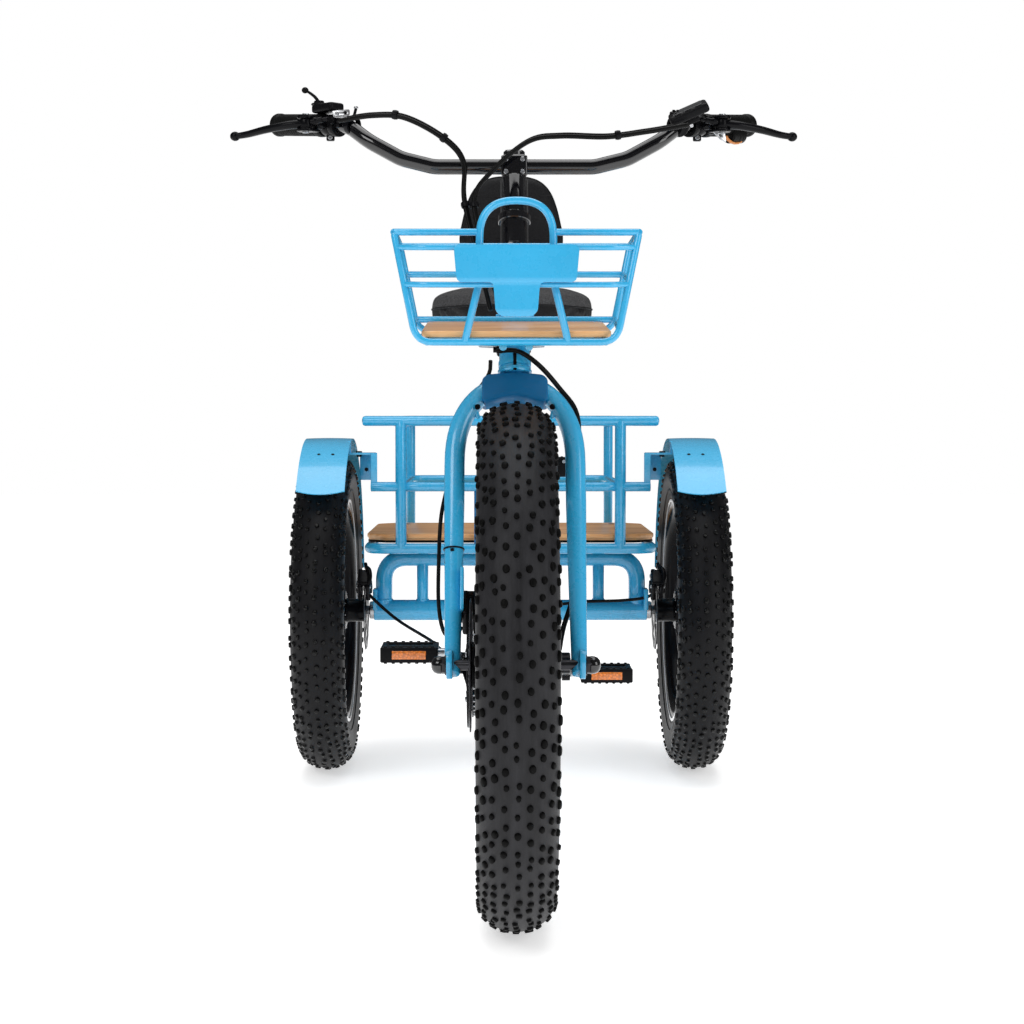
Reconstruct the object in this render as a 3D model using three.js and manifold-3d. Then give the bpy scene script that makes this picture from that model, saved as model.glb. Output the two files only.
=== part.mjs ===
// Adult tricycle with fat tyres, a front basket and a rear cargo rack.
// Millimetres. +Z is up, the front of the tricycle faces -Y and the rider's left is +X.
// The origin is on the ground, under the middle of the bounding box.
import * as THREE from 'three';
import { mergeVertices } from 'three/addons/utils/BufferGeometryUtils.js';
import Module from 'manifold-3d';

const wasm = await Module();
wasm.setup();

// ---- driving dimensions ----
const GAP = 0.35;                    // clearance between neighbouring pieces
const FRONT_AXLE_Y = -640;
const WHEELBASE = 1250;
const REAR_AXLE_Y = FRONT_AXLE_Y + WHEELBASE;
const FRONT_TYRE_R = 350;
const REAR_TYRE_R = 305;
const FRONT_FACETS = 32;
const REAR_FACETS = 28;
const TYRE_HALF_WIDTH = 49;
const RIM_HALF_WIDTH = 40;
const RIM_EDGE_DEPTH = 92;           // tyre tread down to the rim's edge
const RIM_DEPTH = 24;
const BED_DEPTH = 12;                // rim's edge down to the bed that the tyre sits on
const BED_HALF_WIDTH = 29.5;
const FRONT_RIM_WELL = 24;           // half the width of the rim's inner face
const REAR_RIM_WELL = 26;
const REAR_WHEEL_X = 350;            // middle of each rear tyre
const SPOKES = 18;
// a faceted tyre stands on a flat facet, so its axle sits at the facet's height
const FRONT_AXLE_Z = FRONT_TYRE_R * Math.cos(Math.PI / FRONT_FACETS);
const REAR_AXLE_Z = REAR_TYRE_R * Math.cos(Math.PI / REAR_FACETS);

const HEAD_ANGLE = THREE.MathUtils.degToRad(69);
const FORK_TRAIL_OFFSET = 50;        // steering axis behind the front axle, at the axle's height
const ARCH_TOP_Z = 722;
const CROWN_Z = 709;
const HEAD_TUBE_Z = [744, 900];
const HEAD_TUBE_R = 22;
const BAR_Z = 1040;
const LEG_X = 84;
const LEG_R = 14;
const LEG_HEIGHT = 274;               // straight part of each fork leg
const LEG_FOOT_Z = FRONT_AXLE_Z - 12;
const BAR_R = 11;
const GRIP_R = 17;

const CRANK_Y = -10;
const CRANK_Z = 275;
const CRANK_LENGTH = 170;
const CRANK_ANGLE = THREE.MathUtils.degToRad(12.6);   // right arm points forward and up
const CHAIN_X = -62;
const CHAINRING_R = 84;
const COG_R = 40;
const PEDAL_X = 160;

const SEAT_TOP_Z = 891;
const SEAT_Y = 175;
const SEAT_ANGLE = THREE.MathUtils.degToRad(72);

const RACK_HALF_WIDTH = 280;
const RACK_FRONT_Y = 543;
const RACK_REAR_Y = 980;
const RACK_RAIL_R = 9.5;
const FRONT_POST_R = 10.5;
const RACK_TOP_Z = 667;
const RACK_MID_Z = 543;
const RACK_LOW_Z = 424;
const RACK_POST_X = 207;
const AXLE_TUBE_R = 20;
const AXLE_TUBE_END = 262;

const BASKET_FRONT_Y = FRONT_AXLE_Y - 80;
const BASKET_BACK_Y = FRONT_AXLE_Y + 170;
const BASKET_TILT = THREE.MathUtils.degToRad(5.5);
const BASKET_FLOOR_Z = 771.5;
const BASKET_TOP_Z = 911;
const BASKET_ROD_R = 4.5;

// ---- materials ----
const paint = new THREE.MeshStandardMaterial({ color: 0x3cb2eb, roughness: 0.3, metalness: 0.1 });
const black = new THREE.MeshStandardMaterial({ color: 0x151517, roughness: 0.5, metalness: 0.1 });
const steel = new THREE.MeshStandardMaterial({ color: 0xb9bcc0, roughness: 0.3, metalness: 0.9 });
const rubber = new THREE.MeshStandardMaterial({ color: 0x2b2b2d, roughness: 0.85, metalness: 0 });
const wood = new THREE.MeshStandardMaterial({ color: 0xd79c62, roughness: 0.55, metalness: 0 });
const fabric = new THREE.MeshStandardMaterial({ color: 0x333336, roughness: 0.9, metalness: 0 });
const alloy = new THREE.MeshStandardMaterial({ color: 0x202124, roughness: 0.35, metalness: 0.6 });

// ---- solids ----
const vec = (x, y, z) => new THREE.Vector3(x, y, z);

function solid(geometry) {
  const bare = geometry.clone();
  bare.deleteAttribute('normal');
  bare.deleteAttribute('uv');
  const merged = mergeVertices(bare, 1e-3);
  const index = merged.index.array;
  const at = merged.attributes.position;
  let volume = 0;
  const [a, b, c] = [vec(0, 0, 0), vec(0, 0, 0), vec(0, 0, 0)];
  const faces = [];
  for (let i = 0; i < index.length; i += 3) {
    const [p, q, r] = [index[i], index[i + 1], index[i + 2]];
    if (p === q || q === r || r === p) continue;
    a.fromBufferAttribute(at, p);
    b.fromBufferAttribute(at, q);
    c.fromBufferAttribute(at, r);
    volume += a.dot(b.cross(c));
    faces.push(p, q, r);
  }
  if (volume < 0) faces.reverse();
  return new wasm.Manifold(new wasm.Mesh({
    numProp: 3,
    vertProperties: new Float32Array(at.array),
    triVerts: new Uint32Array(faces),
  }));
}

const join = (...pieces) => pieces.flat(3).reduce((whole, piece) => whole.add(piece));

function toGeometry(body) {
  const mesh = body.getMesh();
  const geometry = new THREE.BufferGeometry();
  geometry.setAttribute('position', new THREE.BufferAttribute(new Float32Array(mesh.vertProperties), 3));
  geometry.setIndex(new THREE.BufferAttribute(new Uint32Array(mesh.triVerts), 1));
  geometry.computeVertexNormals();
  return geometry;
}

function placed(geometry, position, rotation = [0, 0, 0]) {
  const turn = new THREE.Euler(...rotation);
  const matrix = new THREE.Matrix4().makeRotationFromEuler(turn).setPosition(position);
  return solid(geometry.applyMatrix4(matrix));
}

const box = (size, position, rotation) => placed(new THREE.BoxGeometry(...size), position, rotation);
const ball = (radius, position, sides = 10) =>
  placed(new THREE.SphereGeometry(radius, sides, sides / 2), position);

function rod(from, to, radius, sides = 10, radiusEnd = radius) {
  const along = new THREE.Vector3().subVectors(to, from);
  const geometry = new THREE.CylinderGeometry(radiusEnd, radius, along.length(), sides);
  const turn = new THREE.Quaternion().setFromUnitVectors(vec(0, 1, 0), along.clone().normalize());
  const middle = new THREE.Vector3().addVectors(from, to).multiplyScalar(0.5);
  return solid(geometry.applyQuaternion(turn).translate(middle.x, middle.y, middle.z));
}

function pipe(from, to, outer, inner, sides = 16) {
  const extra = new THREE.Vector3().subVectors(to, from).setLength(1);
  const bore = rod(from.clone().sub(extra), to.clone().add(extra), inner, sides);
  return rod(from, to, outer, sides).subtract(bore);
}

// a path that passes through its stations exactly, one for each step of an extrusion
class StationPath extends THREE.Curve {
  constructor(stations) {
    super();
    this.stations = stations;
  }
  getPoint(t, target = new THREE.Vector3()) {
    const last = this.stations.length - 1;
    const at = Math.min(Math.max(t, 0), 1) * last;
    const i = Math.min(Math.floor(at + 1e-6), last - 1);
    return target.lerpVectors(this.stations[i], this.stations[i + 1], at - i);
  }
  getPointAt(u, target) {
    return this.getPoint(u, target);
  }
  getTangentAt(u, target = new THREE.Vector3()) {
    const last = this.stations.length - 1;
    const i = Math.round(u * last);
    const before = this.stations[Math.max(i - 1, 0)];
    const here = this.stations[i];
    const after = this.stations[Math.min(i + 1, last)];
    const arriving = new THREE.Vector3().subVectors(here, before).normalize();
    const leaving = new THREE.Vector3().subVectors(after, here).normalize();
    return target.addVectors(arriving, leaving).normalize();
  }
}

function circle(radius, sides) {
  const outline = new THREE.Shape();
  for (let i = 0; i < sides; i += 1) {
    const angle = (i + 0.5) * 2 * Math.PI / sides;
    const point = [radius * Math.cos(angle), radius * Math.sin(angle)];
    if (i === 0) outline.moveTo(...point);
    else outline.lineTo(...point);
  }
  return outline;
}

// corners of a polyline rounded to a radius, each by a few stations
function rounded(points, radius, cuts = 3) {
  const stations = [points[0]];
  for (let i = 1; i < points.length - 1; i += 1) {
    const back = new THREE.Vector3().subVectors(points[i - 1], points[i]);
    const ahead = new THREE.Vector3().subVectors(points[i + 1], points[i]);
    const half = (Math.PI - back.angleTo(ahead)) / 2;
    const room = Math.min(back.length(), ahead.length()) * 0.49;
    const reach = Math.min(radius * Math.tan(half), room);
    const start = points[i].clone().add(back.setLength(reach));
    const end = points[i].clone().add(ahead.setLength(reach));
    const corner = new THREE.QuadraticBezierCurve3(start, points[i], end);
    stations.push(...corner.getPoints(cuts));
  }
  stations.push(points[points.length - 1]);
  return stations;
}

function sweep(stations, radius, sides = 10) {
  const geometry = new THREE.ExtrudeGeometry(circle(radius, sides), {
    steps: stations.length - 1,
    extrudePath: new StationPath(stations),
  });
  return solid(geometry);
}

const tube = (points, radius, bend = 30, sides = 10, cuts = 3) =>
  sweep(rounded(points, bend, cuts), radius, sides);
const cable = (points, radius, steps) =>
  sweep(new THREE.CatmullRomCurve3(points).getPoints(steps), radius, 8);

// a profile of [radius, x] pairs turned about an axle along X
function turned(profile, facets, position) {
  const outline = [...profile, profile[0]].map(([radius, x]) => new THREE.Vector2(radius, x));
  const geometry = new THREE.LatheGeometry(outline, facets, Math.PI / facets);
  return placed(geometry.rotateZ(-Math.PI / 2), position);
}

// a flat outline in the Y-Z plane, given a thickness along X
function plate(outline, thickness, x) {
  const shape = new THREE.Shape(outline.map(([y, z]) => new THREE.Vector2(y, z)));
  const geometry = new THREE.ExtrudeGeometry(shape, { depth: thickness, bevelEnabled: false });
  geometry.applyMatrix4(new THREE.Matrix4().makeBasis(vec(0, 1, 0), vec(0, 0, 1), vec(1, 0, 0)));
  return solid(geometry.translate(x, 0, 0));
}

// a flat outline in the X-Z plane, given a thickness along Y
function panel(shape, thickness, y, curveSegments = 4) {
  const geometry = new THREE.ExtrudeGeometry(shape, { depth: thickness, bevelEnabled: false, curveSegments });
  return placed(geometry, vec(0, y + thickness, 0), [Math.PI / 2, 0, 0]);
}

function roundedRect(width, height, radius) {
  const [w, h, r] = [width / 2, height / 2, radius];
  const shape = new THREE.Shape();
  shape.moveTo(-w + r, -h);
  shape.lineTo(w - r, -h);
  shape.absarc(w - r, -h + r, r, -Math.PI / 2, 0);
  shape.lineTo(w, h - r);
  shape.absarc(w - r, h - r, r, 0, Math.PI / 2);
  shape.lineTo(-w + r, h);
  shape.absarc(-w + r, h - r, r, Math.PI / 2, Math.PI);
  shape.lineTo(-w, -h + r);
  shape.absarc(-w + r, -h + r, r, Math.PI, 1.5 * Math.PI);
  return shape;
}

const group = new THREE.Group();
group.name = 'adult_tricycle';

function add(name, body, material) {
  const mesh = new THREE.Mesh(toGeometry(body), material);
  mesh.name = name;
  group.add(mesh);
}

const both = [['left', 1], ['right', -1]];

// ---- steering axis ----
const steerDirection = vec(0, Math.cos(HEAD_ANGLE), Math.sin(HEAD_ANGLE));
const steerY = (z) => FRONT_AXLE_Y + FORK_TRAIL_OFFSET + (z - FRONT_AXLE_Z) / Math.tan(HEAD_ANGLE);
const onSteer = (z) => vec(0, steerY(z), z);
const steerTurn = [HEAD_ANGLE - Math.PI / 2, 0, 0];

// ---- wheels ----
function tyre(radius, facets, position) {
  const edge = radius - RIM_EDGE_DEPTH;
  const shoulder = radius - 46;
  const bead = edge - BED_DEPTH + 0.5;
  const half = [];
  const crownAngle = Math.PI / 10;
  const crown = 46 / Math.cos(crownAngle);
  for (let i = 0; i < 3; i += 1) {
    const angle = crownAngle + i * (Math.PI / 2 - crownAngle) / 2;
    half.push([shoulder + crown * Math.cos(angle), TYRE_HALF_WIDTH * Math.sin(angle)]);
  }
  half.push([edge + 1.2, RIM_HALF_WIDTH], [edge + 1.2, RIM_HALF_WIDTH - 2.4]);
  half.push([bead, BED_HALF_WIDTH - 0.6], [bead, BED_HALF_WIDTH - 5.6]);
  half.push([shoulder, TYRE_HALF_WIDTH - 6], [radius - 9, 17]);
  const mirrored = half.map(([r, x]) => [r, -x]).reverse();
  return turned([...half, ...mirrored], facets, position);
}

function rim(radius, facets, well, position) {
  const edge = radius - RIM_EDGE_DEPTH;
  const half = [
    [edge - BED_DEPTH, BED_HALF_WIDTH],
    [edge, RIM_HALF_WIDTH - 2.5],
    [edge, RIM_HALF_WIDTH],
    [edge - RIM_DEPTH, well],
  ];
  const mirrored = half.map(([r, x]) => [r, -x]).reverse();
  return turned([...half, ...mirrored], facets, position);
}

// a hub with its spokes; each spoke leaves a flange and leans the way the lacing takes it
function spokes(flangeR, flangeX, rimR, position) {
  const rods = [];
  for (let i = 0; i < SPOKES; i += 1) {
    const side = i % 2 ? 1 : -1;
    const lean = (Math.floor(i / 2) % 2 ? 1 : -1) * 0.42;
    const outer = (i + 0.5) * 2 * Math.PI / SPOKES;
    const inner = outer + lean;
    const from = vec(side * flangeX, (flangeR - 4) * Math.cos(inner), (flangeR - 4) * Math.sin(inner));
    const to = vec(side * 9, rimR * Math.cos(outer), rimR * Math.sin(outer));
    rods.push(rod(from.add(position), to.add(position), 1.5, 3));
  }
  return rods;
}

const frontCentre = vec(0, FRONT_AXLE_Y, FRONT_AXLE_Z);
const frontRimInside = (FRONT_TYRE_R - RIM_EDGE_DEPTH - RIM_DEPTH) * Math.cos(Math.PI / FRONT_FACETS) - 1;
const AXLE_BOLT_R = 7;

add('front_tyre', tyre(FRONT_TYRE_R, FRONT_FACETS, frontCentre), rubber);
add('front_rim', rim(FRONT_TYRE_R, FRONT_FACETS, FRONT_RIM_WELL, frontCentre), alloy);

// the motor hub: a drum with a flange on each side, bored for the fixed axle
const motorDrum = turned([
  [AXLE_BOLT_R + GAP, -44], [32, -44], [34, -34], [96, -28], [96, -22],
  [90, -20], [90, 20], [96, 22], [96, 28], [34, 34], [AXLE_BOLT_R + GAP, 42],
], 20, frontCentre);
add('front_hub_motor', join(motorDrum, spokes(96, 25, frontRimInside, frontCentre)), black);

function rotor(inner, outer, x, centre) {
  const ring = turned([[inner, x - 1], [outer, x - 1], [outer, x + 1], [inner, x + 1]], 20, centre);
  const holes = [];
  for (let i = 0; i < 6; i += 1) {
    const angle = i * Math.PI / 3;
    const reach = outer * 0.68;
    const at = vec(x, reach * Math.cos(angle), reach * Math.sin(angle)).add(centre);
    holes.push(rod(at.clone().add(vec(-3, 0, 0)), at.clone().add(vec(3, 0, 0)), outer * 0.19, 5));
  }
  return ring.subtract(join(holes));
}
const FRONT_ROTOR_X = -60;
const rotorCarrier = turned([
  [31, -44 - GAP], [20, -44 - GAP], [20, FRONT_ROTOR_X + 1], [31, FRONT_ROTOR_X + 1],
], 20, frontCentre);
add('front_brake_rotor', join(rotor(20, 88, FRONT_ROTOR_X, frontCentre), rotorCarrier), steel);

// fixed axle bolt, with a cap nut outside each fork end
const frontAxleAt = (x) => vec(x, FRONT_AXLE_Y, FRONT_AXLE_Z);
const legSide = LEG_X + LEG_R;
const axleBolt = join(
  rod(frontAxleAt(-(LEG_X + 26)), frontAxleAt(LEG_X + 26), AXLE_BOLT_R, 12),
  both.map(([, s]) => rod(frontAxleAt(s * (legSide + 0.4)), frontAxleAt(s * (legSide + 16)), 13, 12, 8)),
);
add('front_axle', axleBolt, black);

// ---- fork ----
function legLine(side) {
  const stations = [];
  for (let i = 0; i <= 4; i += 1) {
    const rise = i / 4;
    const z = LEG_FOOT_Z + rise * LEG_HEIGHT;
    const forward = FORK_TRAIL_OFFSET * (1 - rise) * (1 - rise);
    stations.push(vec(side * LEG_X, steerY(z) - forward, z));
  }
  return stations;
}
const archBase = LEG_FOOT_Z + LEG_HEIGHT;
const arch = [];
for (let i = 1; i < 10; i += 1) {
  const angle = i * Math.PI / 10;
  const z = archBase + (ARCH_TOP_Z - archBase) * Math.pow(Math.sin(angle), 0.85);
  arch.push(vec(LEG_X * Math.cos(angle), steerY(z), z));
}
const forkLine = [...legLine(1), ...arch, ...legLine(-1).reverse()];
const crown = box([86, 38, 38], onSteer(CROWN_Z), steerTurn);
const steerer = rod(onSteer(CROWN_Z), onSteer(BAR_Z - 10), 14, 14);
const TAB_X = 54;
const TAB_Z = 684;
const tyreTabs = both.map(([, s]) => box([6, 14, 22], vec(s * TAB_X, steerY(TAB_Z), TAB_Z), [0, s * 0.3, 0]));
const tabBolts = both.map(([, s]) => {
  const boltZ = TAB_Z + 13;
  return rod(vec(s * TAB_X, steerY(boltZ) - 19, boltZ), vec(s * TAB_X, steerY(boltZ), boltZ), 4, 6);
});
const boltHole = rod(frontAxleAt(-200), frontAxleAt(200), AXLE_BOLT_R + GAP, 12);
const forkEnds = both.map(([, s]) => box([8, 30, 34], vec(s * (LEG_X + 4), FRONT_AXLE_Y, FRONT_AXLE_Z)));
const caliperMountAt = vec(-LEG_X + LEG_R - 2.2, FRONT_AXLE_Y + 62, FRONT_AXLE_Z + 92);
const caliperMount = box([5, 34, 60], caliperMountAt, [-0.4, 0, 0]);
add('fork', join(sweep(forkLine, LEG_R, 12), crown, steerer, tyreTabs, tabBolts, forkEnds, caliperMount)
  .subtract(boltHole), paint);

const caliperY = FRONT_AXLE_Y + 66;
const caliperZ = FRONT_AXLE_Z + 62;
const frontCaliper = box([16, 44, 42], vec(FRONT_ROTOR_X, caliperY, caliperZ), [-0.5, 0, 0])
  .subtract(box([6, 80, 80], vec(FRONT_ROTOR_X, caliperY - 26, caliperZ - 26), [-0.5, 0, 0]));
add('front_caliper', frontCaliper, black);

// ---- headset, riser and bar ----
const head = (from, to, outer, inner, sides) => pipe(onSteer(from), onSteer(to), outer, inner, sides);
const CUP_HEIGHT = 9;
const cup = (from, to) => head(from, to, HEAD_TUBE_R + 2, 14.5, 16);
add('headset_lower', cup(HEAD_TUBE_Z[0] - CUP_HEIGHT, HEAD_TUBE_Z[0] - GAP), alloy);
add('headset_upper', cup(HEAD_TUBE_Z[1] + GAP, HEAD_TUBE_Z[1] + CUP_HEIGHT), alloy);
const riser = head(HEAD_TUBE_Z[1] + CUP_HEIGHT + GAP, BAR_Z - 18, 20, 14.5, 16);
const collar = head(955, 966, 23, 15, 16);
add('stem_riser', join(riser, collar), black);

const barMiddle = vec(0, steerY(BAR_Z), BAR_Z);
function barLine(side) {
  const line = [[117, 0, 0], [165, 2, 12], [212, 8, 38], [244, 28, 64], [356, 142, 80]];
  return line.map(([x, y, z]) => vec(side * x, y, z).add(barMiddle));
}
const barStations = [...barLine(-1).reverse(), ...barLine(1)];
const clampBlock = box([34, 40, 34], barMiddle, steerTurn);
const barBore = rod(vec(-60, barMiddle.y, BAR_Z), vec(60, barMiddle.y, BAR_Z), BAR_R + 1, 12);
const riserBore = rod(onSteer(BAR_Z - 60), onSteer(BAR_Z - 9.4), 14.5, 14);
const topCap = rod(onSteer(BAR_Z + 14), onSteer(BAR_Z + 24), 15, 14);
add('stem_clamp', join(clampBlock, topCap).subtract(barBore).subtract(riserBore)
  .subtract(box([60, 80, 20], onSteer(BAR_Z - 18 - 9.6), steerTurn)), black);
add('handlebar', tube(barStations, BAR_R, 60, 10, 2), black);

// each grip sleeves the last, straight stretch of the bar
for (const [name, side] of both) {
  const line = barLine(side);
  const end = line[line.length - 1];
  const inward = new THREE.Vector3().subVectors(line[line.length - 2], end).normalize();
  const outside = end.clone().addScaledVector(inward, -6);
  const start = end.clone().addScaledVector(inward, 108);
  const boreFrom = start.clone().addScaledVector(inward, 2);
  const boreTo = end.clone().addScaledVector(inward, -GAP);
  const bore = rod(boreFrom, boreTo, BAR_R + GAP + 0.4, 12);
  add(`grip_${name}`, rod(start, outside, GRIP_R, 14, GRIP_R - 1).subtract(bore), rubber);
}

// brake brackets and levers; the lever pivots in front of the grip's inner end
const LEVER_PIVOT = vec(306, 25, 66);
const LEVER_TIP = vec(414, 60, 52);
for (const [name, side] of both) {
  const line = barLine(side);
  const end = line[line.length - 1];
  const inward = new THREE.Vector3().subVectors(line[line.length - 2], end).normalize();
  const ringStart = end.clone().addScaledVector(inward, 112);
  const ringEnd = end.clone().addScaledVector(inward, 128);
  const pivot = vec(side * LEVER_PIVOT.x, LEVER_PIVOT.y, LEVER_PIVOT.z).add(barMiddle);
  const ring = pipe(ringStart, ringEnd, 16, BAR_R + 1, 12);
  const ringMiddle = ringStart.clone().lerp(ringEnd, 0.5);
  const spaceFrom = ringStart.clone().addScaledVector(inward, -30);
  const spaceTo = ringEnd.clone().addScaledVector(inward, 30);
  const barSpace = rod(spaceFrom, spaceTo, 13, 12);
  const leverSlot = rod(pivot.clone().add(vec(0, 0, -7.4)), pivot.clone().add(vec(0, 0, 7.4)), 14, 12);
  const horn = join(
    rod(ringMiddle, pivot, 9.8, 8),
    rod(pivot.clone().add(vec(0, 0, -10.5)), pivot.clone().add(vec(0, 0, 10.5)), 11, 10),
  ).subtract(leverSlot).subtract(barSpace);
  add(`brake_bracket_${name}`, join(horn, ring), steel);
  const tip = vec(side * LEVER_TIP.x, LEVER_TIP.y, LEVER_TIP.z).add(barMiddle);
  const blade = join(
    rod(pivot.clone().add(vec(0, 0, -6.8)), pivot.clone().add(vec(0, 0, 6.8)), 9, 10),
    rod(pivot, tip, 6.2, 8, 4.2),
    ball(7.5, tip, 10),
  );
  add(`brake_lever_${name}`, blade, black);
}

// a clamp ring on the straight end of the bar, measured inward from the bar's tip
function barEnd(side) {
  const line = barLine(side);
  const end = line[line.length - 1];
  const inward = new THREE.Vector3().subVectors(line[line.length - 2], end).normalize();
  return (distance) => end.clone().addScaledVector(inward, distance);
}
const clampRing = (side, from, to, outer) => pipe(barEnd(side)(from), barEnd(side)(to), outer, BAR_R + 1, 12);
const barSpaceAt = (side) => rod(barEnd(side)(100), barEnd(side)(200), BAR_R + 1, 12);

// shifter on the rider's right: a body on a clamp, with its lever standing up
const SHIFTER_AT = barEnd(-1)(114).add(vec(0, 0, 28));
const SHIFTER_SIZE = [52, 28, 14];
const barRun = barEnd(-1)(0).sub(barEnd(-1)(100));
const barHeading = Math.atan2(-barRun.y, -barRun.x);
const shifterPost = barEnd(-1)(137);
add('shifter_body', join(
  clampRing(-1, 130.5, 142, 17),
  box(SHIFTER_SIZE, SHIFTER_AT, [0, 0, barHeading]),
  rod(shifterPost.clone().add(vec(0, 0, 12)), shifterPost.clone().add(vec(0, 0, 27)), 6, 8),
).subtract(barSpaceAt(-1)), black);
const leverFoot = SHIFTER_AT.clone().add(vec(-14, 14.2, 10.4));
const leverTop = leverFoot.clone().add(vec(-20, -8, 17));
add('shift_lever', join(
  rod(leverFoot.clone().add(vec(0, 0, -2.8)), leverFoot.clone().add(vec(0, 0, 4)), 9, 10),
  rod(leverFoot, leverTop, 3, 6),
  ball(5, leverTop, 8),
), black);

// display on the rider's left: a tilted slab on a short post
const DISPLAY_AT = barEnd(1)(146).add(vec(4, -32, 18));
const displayTurn = [0.5, -0.5, 0];
add('display', join(
  box([68, 46, 15], DISPLAY_AT, displayTurn),
  rod(barEnd(1)(137), DISPLAY_AT, 6, 8),
  clampRing(1, 130.5, 142, 17),
).subtract(barSpaceAt(1)), black);

// control cables: each leaves its lever, loops forward of the bar and runs down beside the riser
const inFront = (x, z, ahead) => vec(x, steerY(z) - ahead, z);
const fromBar = (points) => points.map((point) => vec(...point).add(barMiddle));
add('cable_right', cable([
  ...fromBar([[-255, -4, 66], [-205, -26, 70], [-158, -40, 65], [-104, -46, 36], [-74, -44, 2]]),
  inFront(-72, 985, 30), inFront(-52, 900, 30), inFront(-34, 826, 34),
], 4, 26), rubber);
add('cable_left', cable([
  ...fromBar([[252, -24, 58], [221, -28, 52], [187, -32, 46], [132, -40, 38], [66, -48, 38], [20, -52, 30]]),
  ...fromBar([[-30, -52, -10]]), inFront(-58, 985, 40), inFront(-40, 900, 38), inFront(-20, 826, 38),
], 4, 30), rubber);

// motor cable: across the head tube, behind the left fork arch and down the leg to the axle
add('motor_cable', cable([
  inFront(-26, 768, 30), inFront(4, 768, 32), inFront(34, 748, 24), inFront(63, 716, -3),
  inFront(86, 684, -14), inFront(90, 640, -26), inFront(84, 560, -26), inFront(82, 450, -14),
  vec(64, FRONT_AXLE_Y + 48, 392), vec(58, FRONT_AXLE_Y + 22, 366),
], 3.5, 26), rubber);

// ---- main frame ----
const HEAD_BORE_R = 16;
const headTube = head(HEAD_TUBE_Z[0], HEAD_TUBE_Z[1], HEAD_TUBE_R, HEAD_BORE_R, 16);
const headBore = rod(onSteer(HEAD_TUBE_Z[0] - 20), onSteer(HEAD_TUBE_Z[1] + 20), HEAD_BORE_R, 16);
const seatLine = (z) => vec(0, CRANK_Y + (z - CRANK_Z) / Math.tan(SEAT_ANGLE), z);
const downTube = tube([
  vec(0, steerY(815), 815), vec(0, -352, 730), vec(0, -292, 560),
  vec(0, -240, 360), vec(0, -120, 284), vec(0, CRANK_Y, CRANK_Z),
], 22, 120, 12, 3);
const upperStay = tube([
  vec(0, steerY(870), 872), vec(0, -300, 790), vec(0, -232, 600), vec(0, -130, 440), seatLine(396),
], 14, 110, 10, 2);
const SEAT_TUBE_TOP = 660;
const POST_R = 15;
const seatTube = rod(seatLine(CRANK_Z), seatLine(SEAT_TUBE_TOP), 19, 14);
const seatBore = rod(seatLine(340), seatLine(SEAT_TUBE_TOP + 20), POST_R + 1, 14);
const SHELL_HALF = 36;
const shell = rod(vec(-SHELL_HALF, CRANK_Y, CRANK_Z), vec(SHELL_HALF, CRANK_Y, CRANK_Z), 24, 16);
const shellBore = rod(vec(-60, CRANK_Y, CRANK_Z), vec(60, CRANK_Y, CRANK_Z), 16, 16);
const beamLine = [
  vec(0, CRANK_Y, CRANK_Z), vec(0, 300, 300), vec(0, REAR_AXLE_Y - 62, 330), vec(0, REAR_AXLE_Y - 58, 411),
];
const stayLine = [
  seatLine(600), vec(0, 380, 560), vec(0, RACK_FRONT_Y - 27, 450), vec(0, RACK_FRONT_Y - 25, 396),
];
const beam = tube(beamLine, 20, 60, 10, 2);
const seatStay = tube(stayLine, 13, 60, 8, 2);
const basketArm = (s, radius, sides) => tube([
  vec(s * 16, steerY(805), 803), vec(s * 17, BASKET_BACK_Y - 20, 783.4), vec(s * 17, BASKET_FRONT_Y + 52, 767),
], radius, 30, sides, 2);
const basketArms = both.map(([, s]) => basketArm(s, 5, 6));
const headGussets = both.map(([, s]) =>
  box([5, 46, 40], vec(s * 20, steerY(800) - 14, 800), [0, s * 0.2, 0]));
const frameTubes = join(headTube, downTube, upperStay, seatTube, shell, beam, seatStay, basketArms, headGussets);
add('main_frame', frameTubes.subtract(headBore).subtract(seatBore).subtract(shellBore), paint);

// ---- rear sub-frame: the axle tube in two lengths, with the sprocket between them ----
const COG_GAP = [CHAIN_X - 28, CHAIN_X + 28];
const axleCentre = vec(0, REAR_AXLE_Y, REAR_AXLE_Z);
const axleAt = (x) => vec(x, REAR_AXLE_Y, REAR_AXLE_Z);
const axleTubes = join(
  rod(axleAt(-AXLE_TUBE_END), axleAt(COG_GAP[0]), AXLE_TUBE_R, 16),
  rod(axleAt(COG_GAP[1]), axleAt(AXLE_TUBE_END), AXLE_TUBE_R, 16),
);
const HOOP_X = 243;
const HOOP_Z = 404;
const hoopY = REAR_AXLE_Y;
const hoopLine = [
  vec(-HOOP_X, hoopY, REAR_AXLE_Z), vec(-HOOP_X, hoopY, HOOP_Z),
  vec(HOOP_X, hoopY, HOOP_Z), vec(HOOP_X, hoopY, REAR_AXLE_Z),
];
const hoop = tube(hoopLine, 16, 46, 12, 4);
const innerPosts = both.map(([, s]) =>
  rod(vec(s * 169, hoopY, REAR_AXLE_Z), vec(s * 169, hoopY, HOOP_Z), 11, 10));
const hoopBridge = box([70, 100, 22], vec(0, hoopY - 46, HOOP_Z));
// the bridge plate is slotted around the beam and the stay that it is bolted to
const beamRoom = tube([...beamLine, vec(0, REAR_AXLE_Y - 57, 440)], 21, 60, 10, 2);
const stayRoom = tube([...stayLine, vec(0, RACK_FRONT_Y - 25, 370)], 14, 60, 8, 2);
const shaftBore = rod(axleAt(-400), axleAt(400), 15, 16);
const caliperLugs = both.map(([, s]) => box([8, 40, 40], vec(s * 258, REAR_AXLE_Y - 30, REAR_AXLE_Z + 24)));
add('rear_subframe', join(axleTubes, hoop, innerPosts, hoopBridge, caliperLugs)
  .subtract(shaftBore).subtract(beamRoom).subtract(stayRoom), paint);

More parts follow.
